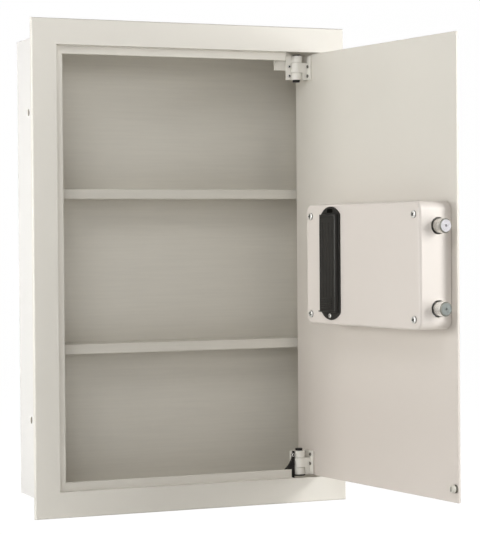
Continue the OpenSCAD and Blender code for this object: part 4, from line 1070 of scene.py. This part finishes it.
for step in range(panel_ribs):
    rib(shape, (step - (panel_ribs - 1) / 2) * panel_pitch, -4 * mm, 0.9 * mm,
        lid_size.z - 26 * mm, 0.7 * mm, face_height - panel_sink)
for step in range(finger_ribs):
    rib(shape, off_centre, half_l - finger_start - finger_pitch * step, finger_width, 1.3 * mm,
        1.6 * mm, face_height - 0.25 * mm)
rib(shape, half_w + 2 * mm, half_l - 0.8 * mm, 9 * mm, 1.4 * mm, 1.2 * mm, 0.7 * mm)
plain_faces = len(shape.faces)
rib(shape, off_centre - half_w, 0, 0.8 * mm, lid_size.z - 4 * mm, 0.9 * mm,
    face_height - 0.15 * mm)
shape.faces.ensure_lookup_table()
for face in shape.faces[plain_faces:]:
    face.material_index = 1
repeat(shape, [lid_place])
lid = door_piece("moulded_battery_lid", shape, "battery_lid", sharp=30,
                 finish=finishes["lid_plastic"])
# The edge bar's lighter plastic is a painted highlight
lid.data.materials.append(finishes["worn_plastic"])
print("ribs:", panel_ribs + finger_ribs)

# %% [markdown]
# ## The pocket in the upper ear
#
# The upper ear of the battery case has a pocket, whose inside is painted near black as
# painted shade. Its faces are those of the softened case that lie near the top, between the
# cover and the ear's outer face.

# %% Shade in the pocket
ear_height, pocket_half = 10 * mm, 6.5 * mm
case_top = shut_box("battery_case")[1]
pocket_floor, pocket_rim = shut_box("lock_cover")[1].y + 0.1 * mm, case_top.y - 0.2 * mm
case = bpy.data.objects["soft_battery_case"]
# Painted shade: the pocket's faces take a near black finish
case.data.materials.append(finishes["deep_shade"])
for face in case.data.polygons:
    spot = swing.inverted() @ face.center
    in_ear = spot.z > case_top.z - ear_height and abs(spot.x - lid_middle.x) < pocket_half
    if in_ear and pocket_floor < spot.y < pocket_rim:
        face.material_index = 1
print("shaded faces:", sum(face.material_index for face in case.data.polygons))

# %% [markdown]
# ## The lock cover
#
# The cover is pressed sheet held by four screws, so its rim never meets the door everywhere.
# The rim of the copy made here stands 0.6 mm off the door, and that thin gap reads as the
# dark line round the cover.

# %% Lift the cover's rim
rim_gap = 0.6 * mm
shape = whole_faces("lock_cover", swing)
rim_y = min(v.co.y for v in shape.verts) + hair
rim_points = [v for v in shape.verts if v.co.y < rim_y]
for vert in rim_points:
    vert.co.y += rim_gap
print("points of the rim lifted:", len(rim_points))
soften("lock_cover", 0.25 * mm, angle=50, shape=shape, turn=swing)

# %% [markdown]
# ## The keys
#
# Each key is a soft cap on a wider foot that stays behind the housing. The cap's upright
# edges get a wide bevel, and the brink of its flat top a narrow one.

# %% A key cap
cap_width, cap_length, foot_height = 12.5 * mm, 11 * mm, 1.0 * mm


def key_cap(name, node):
    low, high = shut_box(node)
    middle = (low + high) / 2
    whole = high.y - low.y
    shape = bmesh.new()
    add_block(shape, (high.x - low.x, high.z - low.z, foot_height), (0, 0, foot_height / 2))
    cap = add_block(shape, (cap_width, cap_length, whole), (0, 0, whole / 2))
    upright = [e for e in edges_of(cap) if abs(e.verts[0].co.z - e.verts[1].co.z) > whole / 2]
    round_edges(shape, upright, 1.5 * mm, 5)
    brink = [e for e in shape.edges if min(v.co.z for v in e.verts) > whole - 0.1 * mm]
    round_edges(shape, brink, 0.5 * mm, 4)
    repeat(shape, [facing(Vector((middle.x, high.y, middle.z)), -1)])
    door_piece(name, shape, node, sharp=40)
    return Vector((middle.x, low.y, middle.z))


# %% [markdown]
# ## Figures on the keys
#
# The figures are printed on the flat tops. The digits are type, which is turned into a mesh
# before it is placed. The two others are a cross and a tick, drawn with two bars each.

# %% Type, bars and print
ink_depth, bar_width, digit_size = 0.02 * mm, 0.9 * mm, 8 * mm


def typed(figure, size):
    letters = bpy.data.curves.new("figure", "FONT")
    letters.body = figure
    letters.size = size
    letters.align_x, letters.align_y = "CENTER", "CENTER"
    letters.extrude = ink_depth
    holder = bpy.data.objects.new("figure", letters)
    bpy.context.scene.collection.objects.link(holder)
    bpy.context.view_layer.update()
    evaluated = holder.evaluated_get(bpy.context.evaluated_depsgraph_get())
    flat = bpy.data.meshes.new_from_object(evaluated)
    shape = bmesh.new()
    shape.from_mesh(flat)
    bpy.data.objects.remove(holder)
    bpy.data.curves.remove(letters)
    bpy.data.meshes.remove(flat)
    low, high = box_round([v.co for v in shape.verts])
    bmesh.ops.translate(shape, verts=shape.verts,
                        vec=(-(low.x + high.x) / 2, -(low.y + high.y) / 2, 0))
    return shape


def two_bars(first, second):
    shape = bmesh.new()
    for x, y, length, angle in (first, second):
        bar = add_block(shape, (length * mm, bar_width, 2 * ink_depth))
        bmesh.ops.rotate(shape, cent=(0, 0, 0), verts=bar,
                         matrix=Matrix.Rotation(math.radians(angle), 3, "Z"))
        bmesh.ops.translate(shape, vec=(x * mm, y * mm, 0), verts=bar)
    return shape


def printed(name, shape, place, node):
    bmesh.ops.transform(shape, matrix=facing(place, -1), verts=shape.verts)
    figure = make_piece(name, shape, finishes["ink_dark"], turn=swing, rides_on=body_of[node],
                        sharp=None)


# %% Twelve keys with their figures
for digit in "1234567890":
    node = "key_" + digit
    printed("figure_" + digit, typed(digit, digit_size), key_cap("cap_" + digit, node), node)
cross = two_bars((0, 0, 6.5, 45), (0, 0, 6.5, -45))
printed("figure_cross", cross, key_cap("cap_clear", "key_clear"), "key_clear")
tick = two_bars((-1.75, -0.8, 3.2, -45), (0.85, 0.35, 6.2, 52))
printed("figure_tick", tick, key_cap("cap_enter", "key_enter"), "key_enter")
print("keys:", sum(name.startswith("key_") for name in nodes))

# %% [markdown]
# ## Lights
#
# The two lights are small domes, each with a flange that stays behind the housing. One spun
# profile is placed at both.

# %% Domed lights
flange, flange_height = 0.75 * mm, 0.9 * mm
boxes = solids_of("status_lights", swing)
low, high = boxes[0]
lens_radius, lens_height = (high.x - low.x) / 2 - 0.8 * mm, high.y - low.y
shape = lathe([(0, 0), (lens_radius + flange, 0), (lens_radius + flange, flange_height),
               (lens_radius, 0.95 * mm), (lens_radius, lens_height - 0.8 * mm),
               (lens_radius * 0.9, lens_height - 0.4 * mm),
               (lens_radius * 0.6, lens_height - 0.1 * mm), (0, lens_height)], 32)
repeat(shape, [facing(Vector(((a.x + b.x) / 2, b.y, (a.z + b.z) / 2)), -1) for a, b in boxes])
door_piece("domed_lights", shape, "status_lights", sharp=50)
print("lights:", len(boxes), "radius in mm:", round(lens_radius / mm, 2))

# %% [markdown]
# ## How far the size is from the CAD model
#
# The box round the visual model is measured like the CAD model's box, and how far each
# side lies from it is printed here.

# %% Differences of the two boxes
visual_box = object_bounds()
growth = [round(abs(v - c) / mm, 2) for a, b in zip(visual_box, cad_box) for v, c in zip(a, b)]
print("visual box differs from the CAD box by (mm):", growth)
